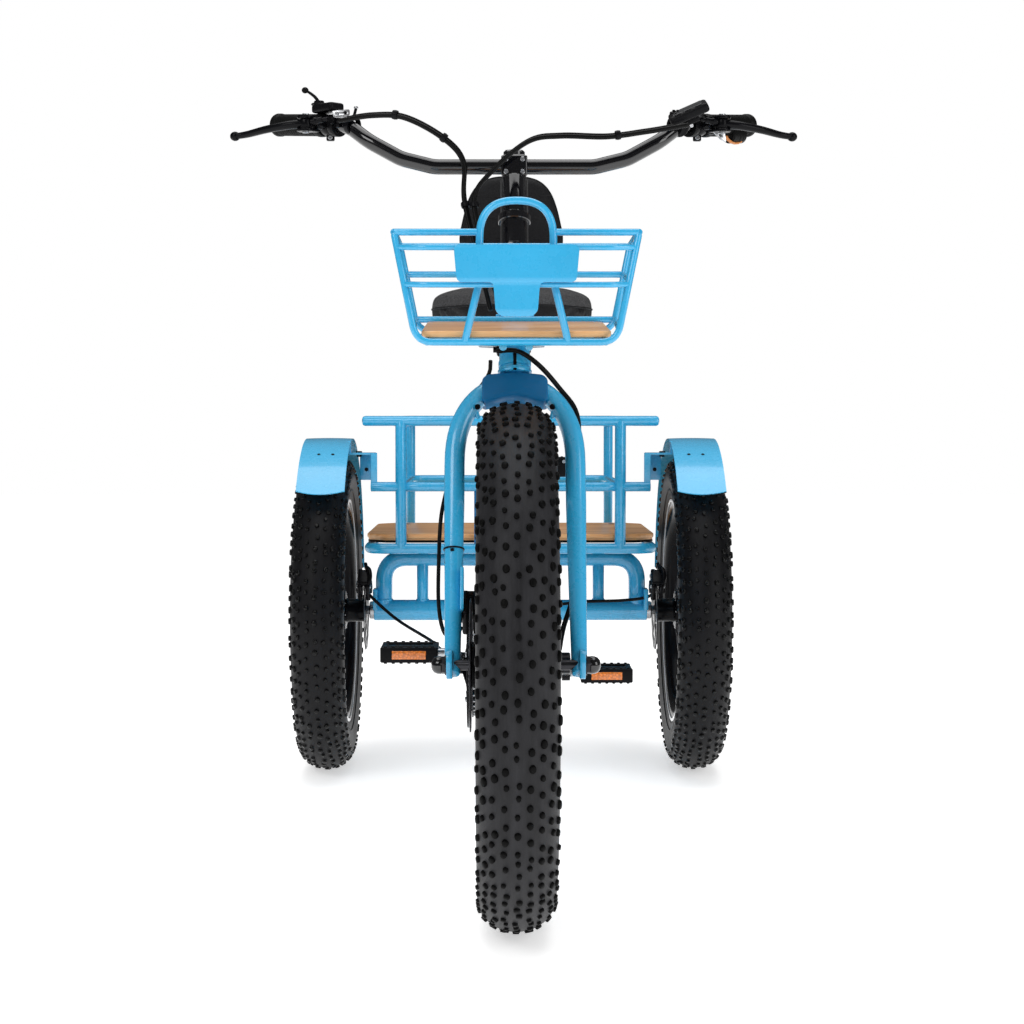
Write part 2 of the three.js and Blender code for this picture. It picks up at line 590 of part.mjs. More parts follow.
const SHAFT_R = 8.5;
for (const [name, side] of both) {
  const [bearingFrom, bearingTo] = [axleAt(side * (AXLE_TUBE_END - 14)), axleAt(side * (AXLE_TUBE_END + 8))];
  const bearing = pipe(bearingFrom, bearingTo, 14.6, SHAFT_R + 0.4, 16);
  add(`axle_bearing_${name}`, bearing, steel);
}

// ---- rear wheels ----
const ROTOR_X = 278;
for (const [name, side] of both) {
  const centre = vec(side * REAR_WHEEL_X, REAR_AXLE_Y, REAR_AXLE_Z);
  const rimInside = (REAR_TYRE_R - RIM_EDGE_DEPTH - RIM_DEPTH) * Math.cos(Math.PI / REAR_FACETS) - 1;
  add(`rear_tyre_${name}`, tyre(REAR_TYRE_R, REAR_FACETS, centre), rubber);
  add(`rear_rim_${name}`, rim(REAR_TYRE_R, REAR_FACETS, REAR_RIM_WELL, centre), alloy);
  const inward = -side;
  const bore = SHAFT_R + GAP;
  const reach = REAR_WHEEL_X - ROTOR_X;
  const drum = turned([
    [bore, inward * (reach - 2)], [22, inward * (reach - 2)], [22, inward * 34],
    [36, inward * 33], [36, inward * 29], [20, inward * 26], [20, inward * -26], [36, inward * -29], [36, inward * -33], [bore, inward * -38],
  ], 14, centre);
  add(`rear_hub_${name}`, join(drum, spokes(36, 31, rimInside, centre)), black);
  const disc = rotor(bore, 76, 0, vec(side * (ROTOR_X - 0.4), REAR_AXLE_Y, REAR_AXLE_Z));
  add(`rear_rotor_${name}`, disc, steel);
  const at = vec(side * (ROTOR_X - 0.4), REAR_AXLE_Y - 54, REAR_AXLE_Z + 52);
  const caliper = box([24, 46, 54], at, [-0.75, 0, 0])
    .subtract(box([5, 90, 90], at.clone().add(vec(0, 22, -22)), [-0.75, 0, 0]));
  add(`rear_caliper_${name}`, caliper, black);
}

// ---- axle shaft and sprocket ----
const shaft = rod(axleAt(-394), axleAt(394), SHAFT_R, 14);
const capNuts = both.map(([, s]) => rod(axleAt(s * 388.6), axleAt(s * 399), 13, 12, 9));
add('axle_shaft', join(shaft, capNuts), steel);
const cogProfile = [
  [SHAFT_R + GAP, -14], [15, -14], [15, -2.5], [COG_R - 4.6, -2.5],
  [COG_R - 4.6, 2.5], [15, 2.5], [15, 14], [SHAFT_R + GAP, 14],
];
add('sprocket', turned(cogProfile, 24, axleAt(CHAIN_X)), steel);

// ---- crankset, pedals and chain ----
const crankAt = (x) => vec(x, CRANK_Y, CRANK_Z);
const crankReach = CRANK_LENGTH * Math.cos(CRANK_ANGLE);
const crankRise = CRANK_LENGTH * Math.sin(CRANK_ANGLE);
const RIGHT_PEDAL = vec(-PEDAL_X, CRANK_Y - crankReach, CRANK_Z + crankRise);
const LEFT_PEDAL = vec(PEDAL_X, CRANK_Y + crankReach, CRANK_Z - crankRise);
const ARM_X = 86;
function crankArm(side, pedal) {
  const from = crankAt(side * ARM_X);
  const to = vec(side * (ARM_X + 8), pedal.y, pedal.z);
  return join(
    rod(from.clone().add(vec(-7 * side, 0, 0)), from.clone().add(vec(7 * side, 0, 0)), 17, 14),
    rod(to.clone().add(vec(-8 * side, 0, 0)), to.clone().add(vec(7 * side, 0, 0)), 13, 12),
    rod(from, to, 9.5, 8),
  );
}
const spindle = rod(crankAt(-ARM_X), crankAt(ARM_X), 9, 12);
const ringX = CHAIN_X;
const chainring = turned([
  [60, ringX - 2.5], [CHAINRING_R - 4.6, ringX - 2.5], [CHAINRING_R - 4.6, ringX + 2.5], [60, ringX + 2.5],
], 24, vec(0, CRANK_Y, CRANK_Z));
const GUARD_X = CHAIN_X - 10;
const guard = turned([
  [60, GUARD_X - 2], [104, GUARD_X - 2], [104, GUARD_X + 2], [60, GUARD_X + 2],
], 24, vec(0, CRANK_Y, CRANK_Z));
const spiderArms = [];
for (let i = 0; i < 5; i += 1) {
  const angle = i * 2 * Math.PI / 5 + 0.3;
  const from = crankAt(-74);
  const to = vec(-74, CRANK_Y + 68 * Math.cos(angle), CRANK_Z + 68 * Math.sin(angle));
  spiderArms.push(rod(from, to, 7, 5));
  spiderArms.push(rod(to.clone().add(vec(-4, 0, 0)), to.clone().add(vec(14, 0, 0)), 5, 4));
}
const axleHoles = [RIGHT_PEDAL, LEFT_PEDAL].map((p) => {
  const side = Math.sign(p.x);
  return rod(vec(side * 70, p.y, p.z), vec(side * 120, p.y, p.z), 7, 10);
});
const crankArms = join(crankArm(-1, RIGHT_PEDAL), crankArm(1, LEFT_PEDAL));
add('crankset', join(spindle, crankArms, chainring, guard, spiderArms)
  .subtract(join(axleHoles)), alloy);

for (const [name, side, pedal] of [['left', 1, LEFT_PEDAL], ['right', -1, RIGHT_PEDAL]]) {
  const pin = rod(vec(side * (ARM_X + 2), pedal.y, pedal.z), vec(side * 205, pedal.y, pedal.z), 6.4, 10);
  const platform = box([88, 82, 24], pedal).subtract(
    join([-1, 1].map((s) => box([66, 24, 40], pedal.clone().add(vec(0, s * 22, 0))))));
  add(`pedal_${name}`, join(pin, platform), black);
}

// the chain wraps both sprockets and runs straight between them
function chainLine() {
  const back = vec(0, REAR_AXLE_Y, REAR_AXLE_Z);
  const front = vec(0, CRANK_Y, CRANK_Z);
  const slope = Math.atan2(back.z - front.z, back.y - front.y);
  const spread = Math.asin((CHAINRING_R - COG_R) / front.distanceTo(back));
  const points = [];
  const wrap = (centre, radius, from, to, steps) => {
    for (let i = 0; i <= steps; i += 1) {
      const angle = from + (to - from) * i / steps;
      points.push([centre.y + radius * Math.cos(angle), centre.z + radius * Math.sin(angle)]);
    }
  };
  const top = slope + Math.PI / 2 - spread;
  const bottom = slope - Math.PI / 2 + spread;
  wrap(back, COG_R, bottom, top, 10);
  wrap(front, CHAINRING_R, top, bottom + 2 * Math.PI, 16);
  return points;
}
function grown(points, distance) {
  return points.map((p, i) => {
    const before = points[(i + points.length - 1) % points.length];
    const after = points[(i + 1) % points.length];
    const along = new THREE.Vector2(after[0] - before[0], after[1] - before[1]).normalize();
    return [p[0] + along.y * distance, p[1] - along.x * distance];
  });
}
const chainOutside = plate(grown(chainLine(), 4), 8, CHAIN_X - 4);
const chainInside = plate(grown(chainLine(), -3.9), 12, CHAIN_X - 6);
add('chain', chainOutside.subtract(chainInside), black);

// ---- seat ----
const SADDLE_BASE_Z = 806;
add('seat_clamp', pipe(seatLine(SEAT_TUBE_TOP - 22), seatLine(SEAT_TUBE_TOP + 6), 24, 19.4, 14)
  .subtract(rod(seatLine(SEAT_TUBE_TOP), seatLine(SEAT_TUBE_TOP + 20), 19.4, 14)), black);
add('seatpost', rod(seatLine(450), seatLine(SADDLE_BASE_Z - 15), POST_R, 14), black);
const saddleShape = (inset) => {
  const shape = new THREE.Shape();
  const half = 141 - inset;
  shape.moveTo(-half * 0.32, -138 + inset);
  shape.quadraticCurveTo(0, -158 + inset, half * 0.32, -138 + inset);
  shape.quadraticCurveTo(half * 0.62, -60, half * 0.94, 20);
  shape.quadraticCurveTo(half * 1.03, 96, half * 0.8, 118 - inset);
  shape.quadraticCurveTo(0, 140 - inset, -half * 0.8, 118 - inset);
  shape.quadraticCurveTo(-half * 1.03, 96, -half * 0.94, 20);
  shape.quadraticCurveTo(-half * 0.62, -60, -half * 0.32, -138 + inset);
  return shape;
};
function slab(shape, thickness, position, bevel = 0) {
  const geometry = new THREE.ExtrudeGeometry(shape, {
    depth: thickness - 2 * bevel,
    bevelEnabled: bevel > 0,
    bevelThickness: bevel,
    bevelSize: bevel,
    bevelOffset: -bevel,
    bevelSegments: 2,
    curveSegments: 5,
  });
  return placed(geometry.translate(0, 0, bevel), position);
}
const saddleBase = join(
  slab(saddleShape(10), 16, vec(0, SEAT_Y, SADDLE_BASE_Z)),
  box([44, 60, 14], vec(0, seatLine(SADDLE_BASE_Z).y, SADDLE_BASE_Z - 2)),
  box([60, 46, 8], vec(0, SEAT_Y + 132, SADDLE_BASE_Z + 6)),
);
add('saddle_base', saddleBase, black);
const cushionFrom = SADDLE_BASE_Z + 16 + GAP;
add('saddle_cushion', slab(saddleShape(0), SEAT_TOP_Z - cushionFrom, vec(0, SEAT_Y, cushionFrom), 16), fabric);

const BACK_Y = SEAT_Y + 232;
const BACK_MIDDLE_Z = 1036;
const backSpine = join(both.map(([, s]) => tube([
  vec(s * 20, SEAT_Y + 158, SADDLE_BASE_Z + 6), vec(s * 20, BACK_Y + 4, SADDLE_BASE_Z + 22),
  vec(s * 20, BACK_Y + 16, BACK_MIDDLE_Z + 20),
], 6, 40, 8, 3)), box([60, 6, 10], vec(0, BACK_Y + 8.4, 930)), box([60, 6, 10], vec(0, BACK_Y + 15.4, 1040)));
add('backrest_frame', backSpine.subtract(box([80, 300, 30], vec(0, SEAT_Y + 5, SADDLE_BASE_Z + 6))), black);
const backShape = new THREE.Shape();
backShape.moveTo(-101, -60);
backShape.quadraticCurveTo(-98, -74, -80, -75);
backShape.lineTo(80, -75);
backShape.quadraticCurveTo(98, -74, 101, -60);
backShape.lineTo(80, 52);
backShape.quadraticCurveTo(76, 73, 58, 74);
backShape.lineTo(-58, 74);
backShape.quadraticCurveTo(-76, 73, -80, 52);
backShape.lineTo(-101, -60);
const backGeometry = new THREE.ExtrudeGeometry(backShape, {
  depth: 24,
  bevelEnabled: true,
  bevelThickness: 10,
  bevelSize: 10,
  bevelOffset: -10,
  bevelSegments: 2,
  curveSegments: 4,
});
const backTurn = [Math.PI / 2 - 0.07, 0, 0];
add('backrest_cushion', placed(backGeometry, vec(0, BACK_Y - 6, BACK_MIDDLE_Z), backTurn), fabric);

// ---- battery and controller ----
add('battery', box([76, 110, 240], vec(0, 250, 430), [-0.3, 0, 0]).subtract(stayRoom).subtract(beamRoom)
  .subtract(rod(seatLine(280), seatLine(760), 24, 14)), black);

add('controller_box', join(box([56, 60, 34], vec(68, 250, 588)), box([28, 30, 8], vec(28, 250, 588))), black);

// ---- cargo rack ----
const railLine = (z, front, back, half) => [
  vec(-half, back, z), vec(-half, front, z), vec(half, front, z), vec(half, back, z),
];
function rackRing(z, half, radius) {
  const corners = railLine(z, RACK_FRONT_Y, RACK_REAR_Y, half);
  const runs = corners.map((corner, i) => rod(corner, corners[(i + 1) % 4], radius, 8));
  return join(runs, corners.map((corner) => ball(radius, corner, 8)));
}
const lowRing = rackRing(RACK_LOW_Z + 2, 268, RACK_RAIL_R + 0.5);
const topBarEnd = (s) => vec(s * RACK_HALF_WIDTH, RACK_FRONT_Y, RACK_TOP_Z);
const topRails = join(
  rackRing(RACK_TOP_Z, RACK_POST_X, RACK_RAIL_R),
  rod(topBarEnd(-1), topBarEnd(1), RACK_RAIL_R, 8),
  both.map(([, s]) => ball(RACK_RAIL_R, topBarEnd(s), 8)),
);
const STRAP_X = 258;
const midRails = join(
  rackRing(RACK_MID_Z, RACK_POST_X, 9),
  both.map(([, s]) => rod(
    vec(s * RACK_POST_X, RACK_FRONT_Y, RACK_MID_Z), vec(s * (STRAP_X + 6), RACK_FRONT_Y, RACK_MID_Z), 9, 8)),
);
const posts = [];
for (const [y, radius] of [[RACK_FRONT_Y, FRONT_POST_R], [RACK_REAR_Y, RACK_RAIL_R]]) {
  for (const [, s] of both) {
    posts.push(rod(vec(s * RACK_POST_X, y, RACK_LOW_Z), vec(s * RACK_POST_X, y, RACK_TOP_Z), radius, 8));
  }
}
const centrePosts = both.map(([, s]) => box([14, 8, 130], vec(s * 62, RACK_FRONT_Y, 486)));
const hoopClearance = tube(hoopLine, 16.5, 46, 12, 4);
add('cargo_rack', join(lowRing, topRails, midRails, posts, centrePosts)
  .subtract(hoopClearance), paint);

const deckShape = new THREE.Shape();
const deckMiddle = (RACK_FRONT_Y + RACK_REAR_Y) / 2;
const deckHalf = { x: 272, y: (RACK_REAR_Y - RACK_FRONT_Y) / 2 - RACK_RAIL_R - 1 };
const CUT = 34;
deckShape.moveTo(-deckHalf.x + CUT, -deckHalf.y);
deckShape.lineTo(deckHalf.x - CUT, -deckHalf.y);
deckShape.lineTo(deckHalf.x, -deckHalf.y + CUT);
deckShape.lineTo(deckHalf.x, deckHalf.y - CUT);
deckShape.lineTo(deckHalf.x - CUT, deckHalf.y);
deckShape.lineTo(-deckHalf.x + CUT, deckHalf.y);
deckShape.lineTo(-deckHalf.x, deckHalf.y - CUT);
deckShape.lineTo(-deckHalf.x, -deckHalf.y + CUT);
const DECK_Z = RACK_LOW_Z + RACK_RAIL_R + 2.5 + GAP;
add('cargo_tray', slab(deckShape, 4, vec(0, deckMiddle, DECK_Z)), black);
add('cargo_deck', slab(deckShape, 12, vec(0, deckMiddle, DECK_Z + 4 + GAP)), wood);

// ---- rear fenders: a thin curved sheet over each tyre, with a bent bracket to the rack ----
const FENDER_R = REAR_TYRE_R + 23.5;
const FENDER_X = 346;
const FENDER_WIDTH = 88;
const FENDER_ARC = [0.18, 2.362];
const FENDER_STEPS = 12;
const SHELF_Z = 605;
function fenderArc(radius) {
  const points = [];
  for (let i = 0; i <= FENDER_STEPS; i += 1) {
    const angle = FENDER_ARC[0] + (FENDER_ARC[1] - FENDER_ARC[0]) * i / FENDER_STEPS;
    points.push([REAR_AXLE_Y + radius * Math.cos(angle), REAR_AXLE_Z + radius * Math.sin(angle)]);
  }
  return points;
}
for (const [name, side] of both) {
  const outline = [...fenderArc(FENDER_R + 2.5), ...fenderArc(FENDER_R).reverse()];
  const sheet = plate(outline, FENDER_WIDTH, side * FENDER_X - FENDER_WIDTH / 2);
  const bracket = join(
    box([4, 34, 26], vec(side * 304, RACK_FRONT_Y + 24, 616)),
    box([50, 40, 4], vec(side * 281, RACK_FRONT_Y + 20, SHELF_Z)),
    box([12, 6, 64], vec(side * STRAP_X, RACK_FRONT_Y + 1, SHELF_Z - 30)),
    box([25, 4, 50], vec(side * 273.5, RACK_FRONT_Y + 26, SHELF_Z - 25)),
  );
  const trimmed = join(sheet, bracket).subtract(join(topRails, midRails, posts));
  add(`rear_fender_${name}`, trimmed, paint);
}

// ---- front basket ----
const tilt = (x, forward, up) => vec(x, BASKET_FRONT_Y + forward, up + forward * Math.tan(BASKET_TILT));
const BASKET_DEPTH = BASKET_BACK_Y - BASKET_FRONT_Y;
const TOP_X = 156;
const BOTTOM_X = 128;
const BACK_WIDER = 8;
const MID_RAIL_Z = BASKET_TOP_Z - 61;
const BACK_TOP_Z = BASKET_TOP_Z - 22;
const LOW_RAIL_Z = BASKET_FLOOR_Z + 16;
const postX = (z) => BOTTOM_X + (TOP_X - BOTTOM_X) * (z - BASKET_FLOOR_Z) / (BASKET_TOP_Z - BASKET_FLOOR_Z);
const basketRod = (from, to) => rod(from, to, BASKET_ROD_R - 0.2, 6);
const basketU = (forward, wider, top) => tube([
  tilt(-(postX(top) + wider), forward, top), tilt(-(BOTTOM_X + wider), forward, BASKET_FLOOR_Z),
  tilt(BOTTOM_X + wider, forward, BASKET_FLOOR_Z), tilt(postX(top) + wider, forward, top),
], BASKET_ROD_R, 26, 6, 3);
const basketUs = join(basketU(0, 0, BASKET_TOP_Z), basketU(BASKET_DEPTH, BACK_WIDER, BACK_TOP_Z));
// each level of rails: its height at the front and at the back
const railLevels = [[BASKET_TOP_Z, BACK_TOP_Z], [MID_RAIL_Z, MID_RAIL_Z], [LOW_RAIL_Z, LOW_RAIL_Z]];
const basketRails = railLevels.map(([front, back]) => {
  const backX = postX(back) + BACK_WIDER;
  const sideRail = (s) => basketRod(tilt(s * postX(front), 1, front - 0.6), tilt(s * backX, BASKET_DEPTH - 1, back - 0.6));
  const backRail = basketRod(tilt(-backX - 2, BASKET_DEPTH, back - 1), tilt(backX + 2, BASKET_DEPTH, back - 1));
  return [sideRail(1), sideRail(-1), backRail];
});
const ARCH_TOP = BASKET_TOP_Z + 40;
const basketArch = tube([
  tilt(-61, 0, BASKET_FLOOR_Z), tilt(-46, 0, ARCH_TOP), tilt(46, 0, ARCH_TOP), tilt(61, 0, BASKET_FLOOR_Z),
], BASKET_ROD_R, 45, 6, 5);
const frontTop = both.map(([, s]) =>
  basketRod(tilt(s * TOP_X, 0, BASKET_TOP_Z), tilt(s * 50, 0, BASKET_TOP_Z)));
const plateRails = [BASKET_TOP_Z - 19, BASKET_TOP_Z - 66].map((z) => tube([
  tilt(-postX(z), 0, z), tilt(-118, -16, z), tilt(118, -16, z), tilt(postX(z), 0, z),
], BASKET_ROD_R - 0.5, 16, 6, 2));
const floorBars = [60, 125, 190].map((f) =>
  basketRod(tilt(-BOTTOM_X - 4, f, BASKET_FLOOR_Z), tilt(BOTTOM_X + 4, f, BASKET_FLOOR_Z)));
const floorSides = both.map(([, s]) => basketRod(
  tilt(s * (BOTTOM_X - 14), 0, BASKET_FLOOR_Z), tilt(s * (BOTTOM_X - 6), BASKET_DEPTH, BASKET_FLOOR_Z)));
const armRoom = both.map(([, s]) => basketArm(s, 5.5, 8));
add('basket_frame', join(basketUs, basketRails, basketArch, frontTop, plateRails, floorBars, floorSides)
  .subtract(join(armRoom)), paint);

const floorShape = roundedRect(2 * BOTTOM_X - 16, BASKET_DEPTH - 16, 10);
const floorMiddle = tilt(0, BASKET_DEPTH / 2, BASKET_FLOOR_Z + BASKET_ROD_R + 1.2);
const floorGeometry = new THREE.ExtrudeGeometry(floorShape, { depth: 8, bevelEnabled: false, curveSegments: 2 });
const floorBoard = placed(floorGeometry, floorMiddle, [BASKET_TILT, 0, 0]);
add('basket_floor', floorBoard.subtract(basketUs), wood);

// a plain plate with a tongue below it, hung on the two front rails
const PLATE_HALF = 79;
const PLATE_TOP = 23.2;
const TONGUE_HALF = 29;
const TONGUE_LOW = -66.2;
const plateShape = new THREE.Shape();
plateShape.moveTo(-PLATE_HALF + 4, -PLATE_TOP);
plateShape.lineTo(-TONGUE_HALF, -PLATE_TOP);
plateShape.lineTo(-TONGUE_HALF + 3, TONGUE_LOW + 6);
plateShape.quadraticCurveTo(-TONGUE_HALF + 4, TONGUE_LOW, -TONGUE_HALF + 10, TONGUE_LOW);
plateShape.lineTo(TONGUE_HALF - 10, TONGUE_LOW);
plateShape.quadraticCurveTo(TONGUE_HALF - 4, TONGUE_LOW, TONGUE_HALF - 3, TONGUE_LOW + 6);
plateShape.lineTo(TONGUE_HALF, -PLATE_TOP);
plateShape.lineTo(PLATE_HALF - 4, -PLATE_TOP);
plateShape.lineTo(PLATE_HALF, PLATE_TOP);
plateShape.lineTo(-PLATE_HALF, PLATE_TOP);
plateShape.lineTo(-PLATE_HALF + 4, -PLATE_TOP);
const PLATE_Z = BASKET_TOP_Z - 41.2;
add('basket_plate', panel(plateShape, 2.5, BASKET_FRONT_Y - 25).translate([0, 0, PLATE_Z]), paint);

export default group;
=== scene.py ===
"""The visual model of an adult tricycle with fat tyres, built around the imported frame.

Places and sizes are in millimetres in the row's frame, and MM turns them into metres.
"""

import math
import random

import bmesh
import bpy
from mathutils import Matrix, Vector
from mathutils.bvhtree import BVHTree


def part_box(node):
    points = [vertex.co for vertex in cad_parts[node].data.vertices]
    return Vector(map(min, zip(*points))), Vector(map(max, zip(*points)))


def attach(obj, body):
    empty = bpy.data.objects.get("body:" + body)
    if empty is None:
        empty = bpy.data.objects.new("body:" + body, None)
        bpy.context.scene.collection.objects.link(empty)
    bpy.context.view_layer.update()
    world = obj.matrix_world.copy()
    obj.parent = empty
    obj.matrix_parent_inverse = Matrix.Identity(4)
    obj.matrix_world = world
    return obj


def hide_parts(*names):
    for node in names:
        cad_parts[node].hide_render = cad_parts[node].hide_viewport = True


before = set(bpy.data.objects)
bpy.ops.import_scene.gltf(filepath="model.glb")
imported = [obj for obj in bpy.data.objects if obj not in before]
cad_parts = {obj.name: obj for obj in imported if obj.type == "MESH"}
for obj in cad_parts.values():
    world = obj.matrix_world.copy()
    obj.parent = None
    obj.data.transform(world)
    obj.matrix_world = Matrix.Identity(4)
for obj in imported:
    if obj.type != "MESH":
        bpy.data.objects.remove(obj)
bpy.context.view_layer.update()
random.seed(7)

MM = 0.001
TAU = 2 * math.pi

# ---- driving dimensions, the same as the frame's ----
FRONT_Y = -640
REAR_Y = 610
FRONT_R = 350
REAR_R = 305
FRONT_Z = FRONT_R * math.cos(math.pi / 32)
REAR_Z = REAR_R * math.cos(math.pi / 28)
REAR_X = 350
RIM_EDGE_DEPTH = 92
HEAD_TAN = math.tan(math.radians(69))
CRANK_Y, CRANK_Z = -10, 275
CRANK_LENGTH = 170
CRANK_ANGLE = math.radians(12.6)
CHAIN_X = -62
BAR_Z = 1040
BASKET_FRONT = FRONT_Y - 80
BASKET_DEPTH = 250
BASKET_FLOOR, BASKET_TOP = 771.5, 911
BASKET_SLOPE = math.tan(math.radians(5.5))
RACK_FRONT, RACK_REAR = 543, 980
RACK_TOP, RACK_MID, RACK_LOW = 667, 543, 424
RACK_HALF = 207
HOOP_HALF, STRUT_HALF = 243, 169
ROTOR_X = 277.6
FRONT_ROTOR_X = -60
SIDES = (("left", 1), ("right", -1))
ACROSS, AHEAD, UP = (1, 0, 0), (0, -1, 0), (0, 0, 1)
WHITE = (1, 1, 1, 1)


def steer_y(z):
    return FRONT_Y + 50 + (z - FRONT_Z) / HEAD_TAN


def v(x, y, z):
    return Vector((x, y, z))


FRONT_HUB = v(0, FRONT_Y, FRONT_Z)
REAR_AXLE = v(0, REAR_Y, REAR_Z)
CRANK_AXLE = v(0, CRANK_Y, CRANK_Z)
CHAINRING = v(CHAIN_X, CRANK_Y, CRANK_Z)
SPROCKET = v(CHAIN_X, REAR_Y, REAR_Z)


# ---------------------------------------------------------------- materials
def settings(node, **values):
    """Sets a node's own sockets; an underscore in a name stands for a space."""
    for name, value in values.items():
        node.inputs[name.replace("_", " ")].default_value = value
    return node


def new_node(tree, kind, **values):
    return settings(tree.nodes.new("ShaderNode" + kind), **values)


def new_material(name):
    material = bpy.data.materials.new(name)
    material.use_nodes = True
    tree = material.node_tree
    return material, tree, tree.nodes["Principled BSDF"]


def plain_white():
    material, tree, shader = new_material("studio_white")
    cloudy = new_node(tree, "TexNoise", Scale=3)
    tone = new_node(tree, "ValToRGB")
    tone.color_ramp.elements[0].color = (0.97, 0.97, 0.97, 1)
    tone.color_ramp.elements[1].color = WHITE
    tree.links.new(cloudy.outputs["Fac"], tone.inputs["Fac"])
    tree.links.new(tone.outputs["Color"], shader.inputs["Base Color"])
    settings(shader, Roughness=0.9, Emission_Color=WHITE, Emission_Strength=0.5, Specular_IOR_Level=0.1)
    return material


def coordinates(tree, scale=(1, 1, 1)):
    place = new_node(tree, "TexCoord")
    mapping = new_node(tree, "Mapping", Scale=scale)
    tree.links.new(place.outputs["Object"], mapping.inputs["Vector"])
    return mapping.outputs["Vector"]


def noise(tree, vector, scale, detail=3.0, roughness=0.5):
    node = new_node(tree, "TexNoise", Scale=scale, Detail=detail, Roughness=roughness)
    tree.links.new(vector, node.inputs["Vector"])
    return node.outputs["Fac"]


def ramp(tree, factor, *stops):
    node = new_node(tree, "ValToRGB")
    elements = node.color_ramp.elements
    while len(elements) < len(stops):
        elements.new(0.5)
    for element, (position, colour) in zip(elements, stops):
        element.position = position
        element.color = (*colour, 1)
    tree.links.new(factor, node.inputs["Fac"])
    return node.outputs["Color"]


def span(tree, factor, low, high, start=0.0, end=1.0):
    node = new_node(tree, "MapRange", From_Min=start, From_Max=end, To_Min=low, To_Max=high)
    tree.links.new(factor, node.inputs["Value"])
    return node.outputs["Result"]


def bump(tree, shader, height, strength, distance):
    node = new_node(tree, "Bump", Strength=strength, Distance=distance)
    tree.links.new(height, node.inputs["Height"])
    tree.links.new(node.outputs["Normal"], shader.inputs["Normal"])


def coated(name, colour, variation, roughness, coat=0.0, grain=(900, 0.02, 0.0002), shine=0.5):
    """A painted or moulded surface: soft patches of tone, uneven gloss and a fine grain."""
    material, tree, shader = new_material(name)
    place = coordinates(tree)
    dark = [c * (1 - variation) for c in colour]
    light = [min(1, c * (1 + variation)) for c in colour]
    broad = noise(tree, place, 9, 4)
    tree.links.new(ramp(tree, broad, (0.3, dark), (0.7, light)), shader.inputs["Base Color"])
    fine = noise(tree, place, 60, 6, 0.65)
    tree.links.new(span(tree, fine, roughness[0], roughness[1], 0.3, 0.7), shader.inputs["Roughness"])
    settings(shader, Specular_IOR_Level=shine, Coat_Weight=coat, Coat_Roughness=0.08)
    scale, strength, distance = grain
    bump(tree, shader, noise(tree, place, scale, 2), strength, distance)
    return material


def brushed(name, colour, roughness):
    """Bare metal with fine lines along X."""
    material, tree, shader = new_material(name)
    lines = noise(tree, coordinates(tree, (40, 900, 900)), 1.0, 5)
    broad = noise(tree, coordinates(tree), 25, 3)
    dark = [c * 0.8 for c in colour]
    tree.links.new(ramp(tree, broad, (0.3, dark), (0.7, colour)), shader.inputs["Base Color"])
    tree.links.new(span(tree, lines, roughness[0], roughness[1], 0.3, 0.7), shader.inputs["Roughness"])
    settings(shader, Metallic=1)
    bump(tree, shader, lines, 0.12, 0.0002)
    return material


def wood_material(name):
    """Varnished light plywood: long grain along X with pores and darker growth lines."""
    material, tree, shader = new_material(name)
    place = coordinates(tree, (2.2, 26, 26))
    wobble = noise(tree, coordinates(tree, (3, 9, 9)), 2.0, 4)
    grain = noise(tree, place, 2.6, 9, 0.62)
    mix = new_node(tree, "Math")
    mix.operation = "MULTIPLY_ADD"
    mix.inputs[1].default_value = 0.55
    tree.links.new(wobble, mix.inputs[0])
    tree.links.new(grain, mix.inputs[2])
    colour = ramp(tree, mix.outputs[0], (0.45, (0.42, 0.17, 0.05)), (0.75, (0.74, 0.35, 0.13)),
                  (1.0, (0.92, 0.55, 0.25)))
    tree.links.new(colour, shader.inputs["Base Color"])
    pores = noise(tree, coordinates(tree, (30, 700, 700)), 1.0, 3)
    tree.links.new(span(tree, pores, 0.32, 0.55), shader.inputs["Roughness"])
    settings(shader, Coat_Weight=0.35, Coat_Roughness=0.2)
    bump(tree, shader, pores, 0.15, 0.0004)
    return material


def upholstery(name, base, fleck):
    """Vinyl with a pebbled grain and light flecks."""
    material, tree, shader = new_material(name)
    place = coordinates(tree)
    pebble = new_node(tree, "TexVoronoi", Scale=420)
    tree.links.new(place, pebble.inputs["Vector"])
    speckle = noise(tree, place, 620, 5, 0.7)
    mid = [(a + b) / 2 for a, b in zip(base, fleck)]
    colour = ramp(tree, speckle, (0.40, base), (0.58, mid), (0.72, fleck))
    tree.links.new(colour, shader.inputs["Base Color"])
    tree.links.new(span(tree, pebble.outputs["Distance"], 0.42, 0.7, 0, 0.8), shader.inputs["Roughness"])
    settings(shader, Specular_IOR_Level=0.18)
    bump(tree, shader, pebble.outputs["Distance"], 0.5, 0.0006)
    return material


def casing_material(name, colour):
    """Tyre casing: dusty rubber, streaked round the wheel, with a fine grain."""
    material, tree, shader = new_material(name)
    place = coordinates(tree)
    dust = noise(tree, coordinates(tree, (60, 7, 7)), 1.0, 6, 0.7)
    light = [min(1, c * 1.5) for c in colour]
    dark = [c * 0.65 for c in colour]
    tree.links.new(ramp(tree, dust, (0.32, dark), (0.68, light)), shader.inputs["Base Color"])
    tree.links.new(span(tree, dust, 0.34, 0.6), shader.inputs["Roughness"])
    settings(shader, Specular_IOR_Level=0.18)
    fine = noise(tree, place, 700, 4, 0.7)
    bump(tree, shader, fine, 0.35, 0.0006)
    return material


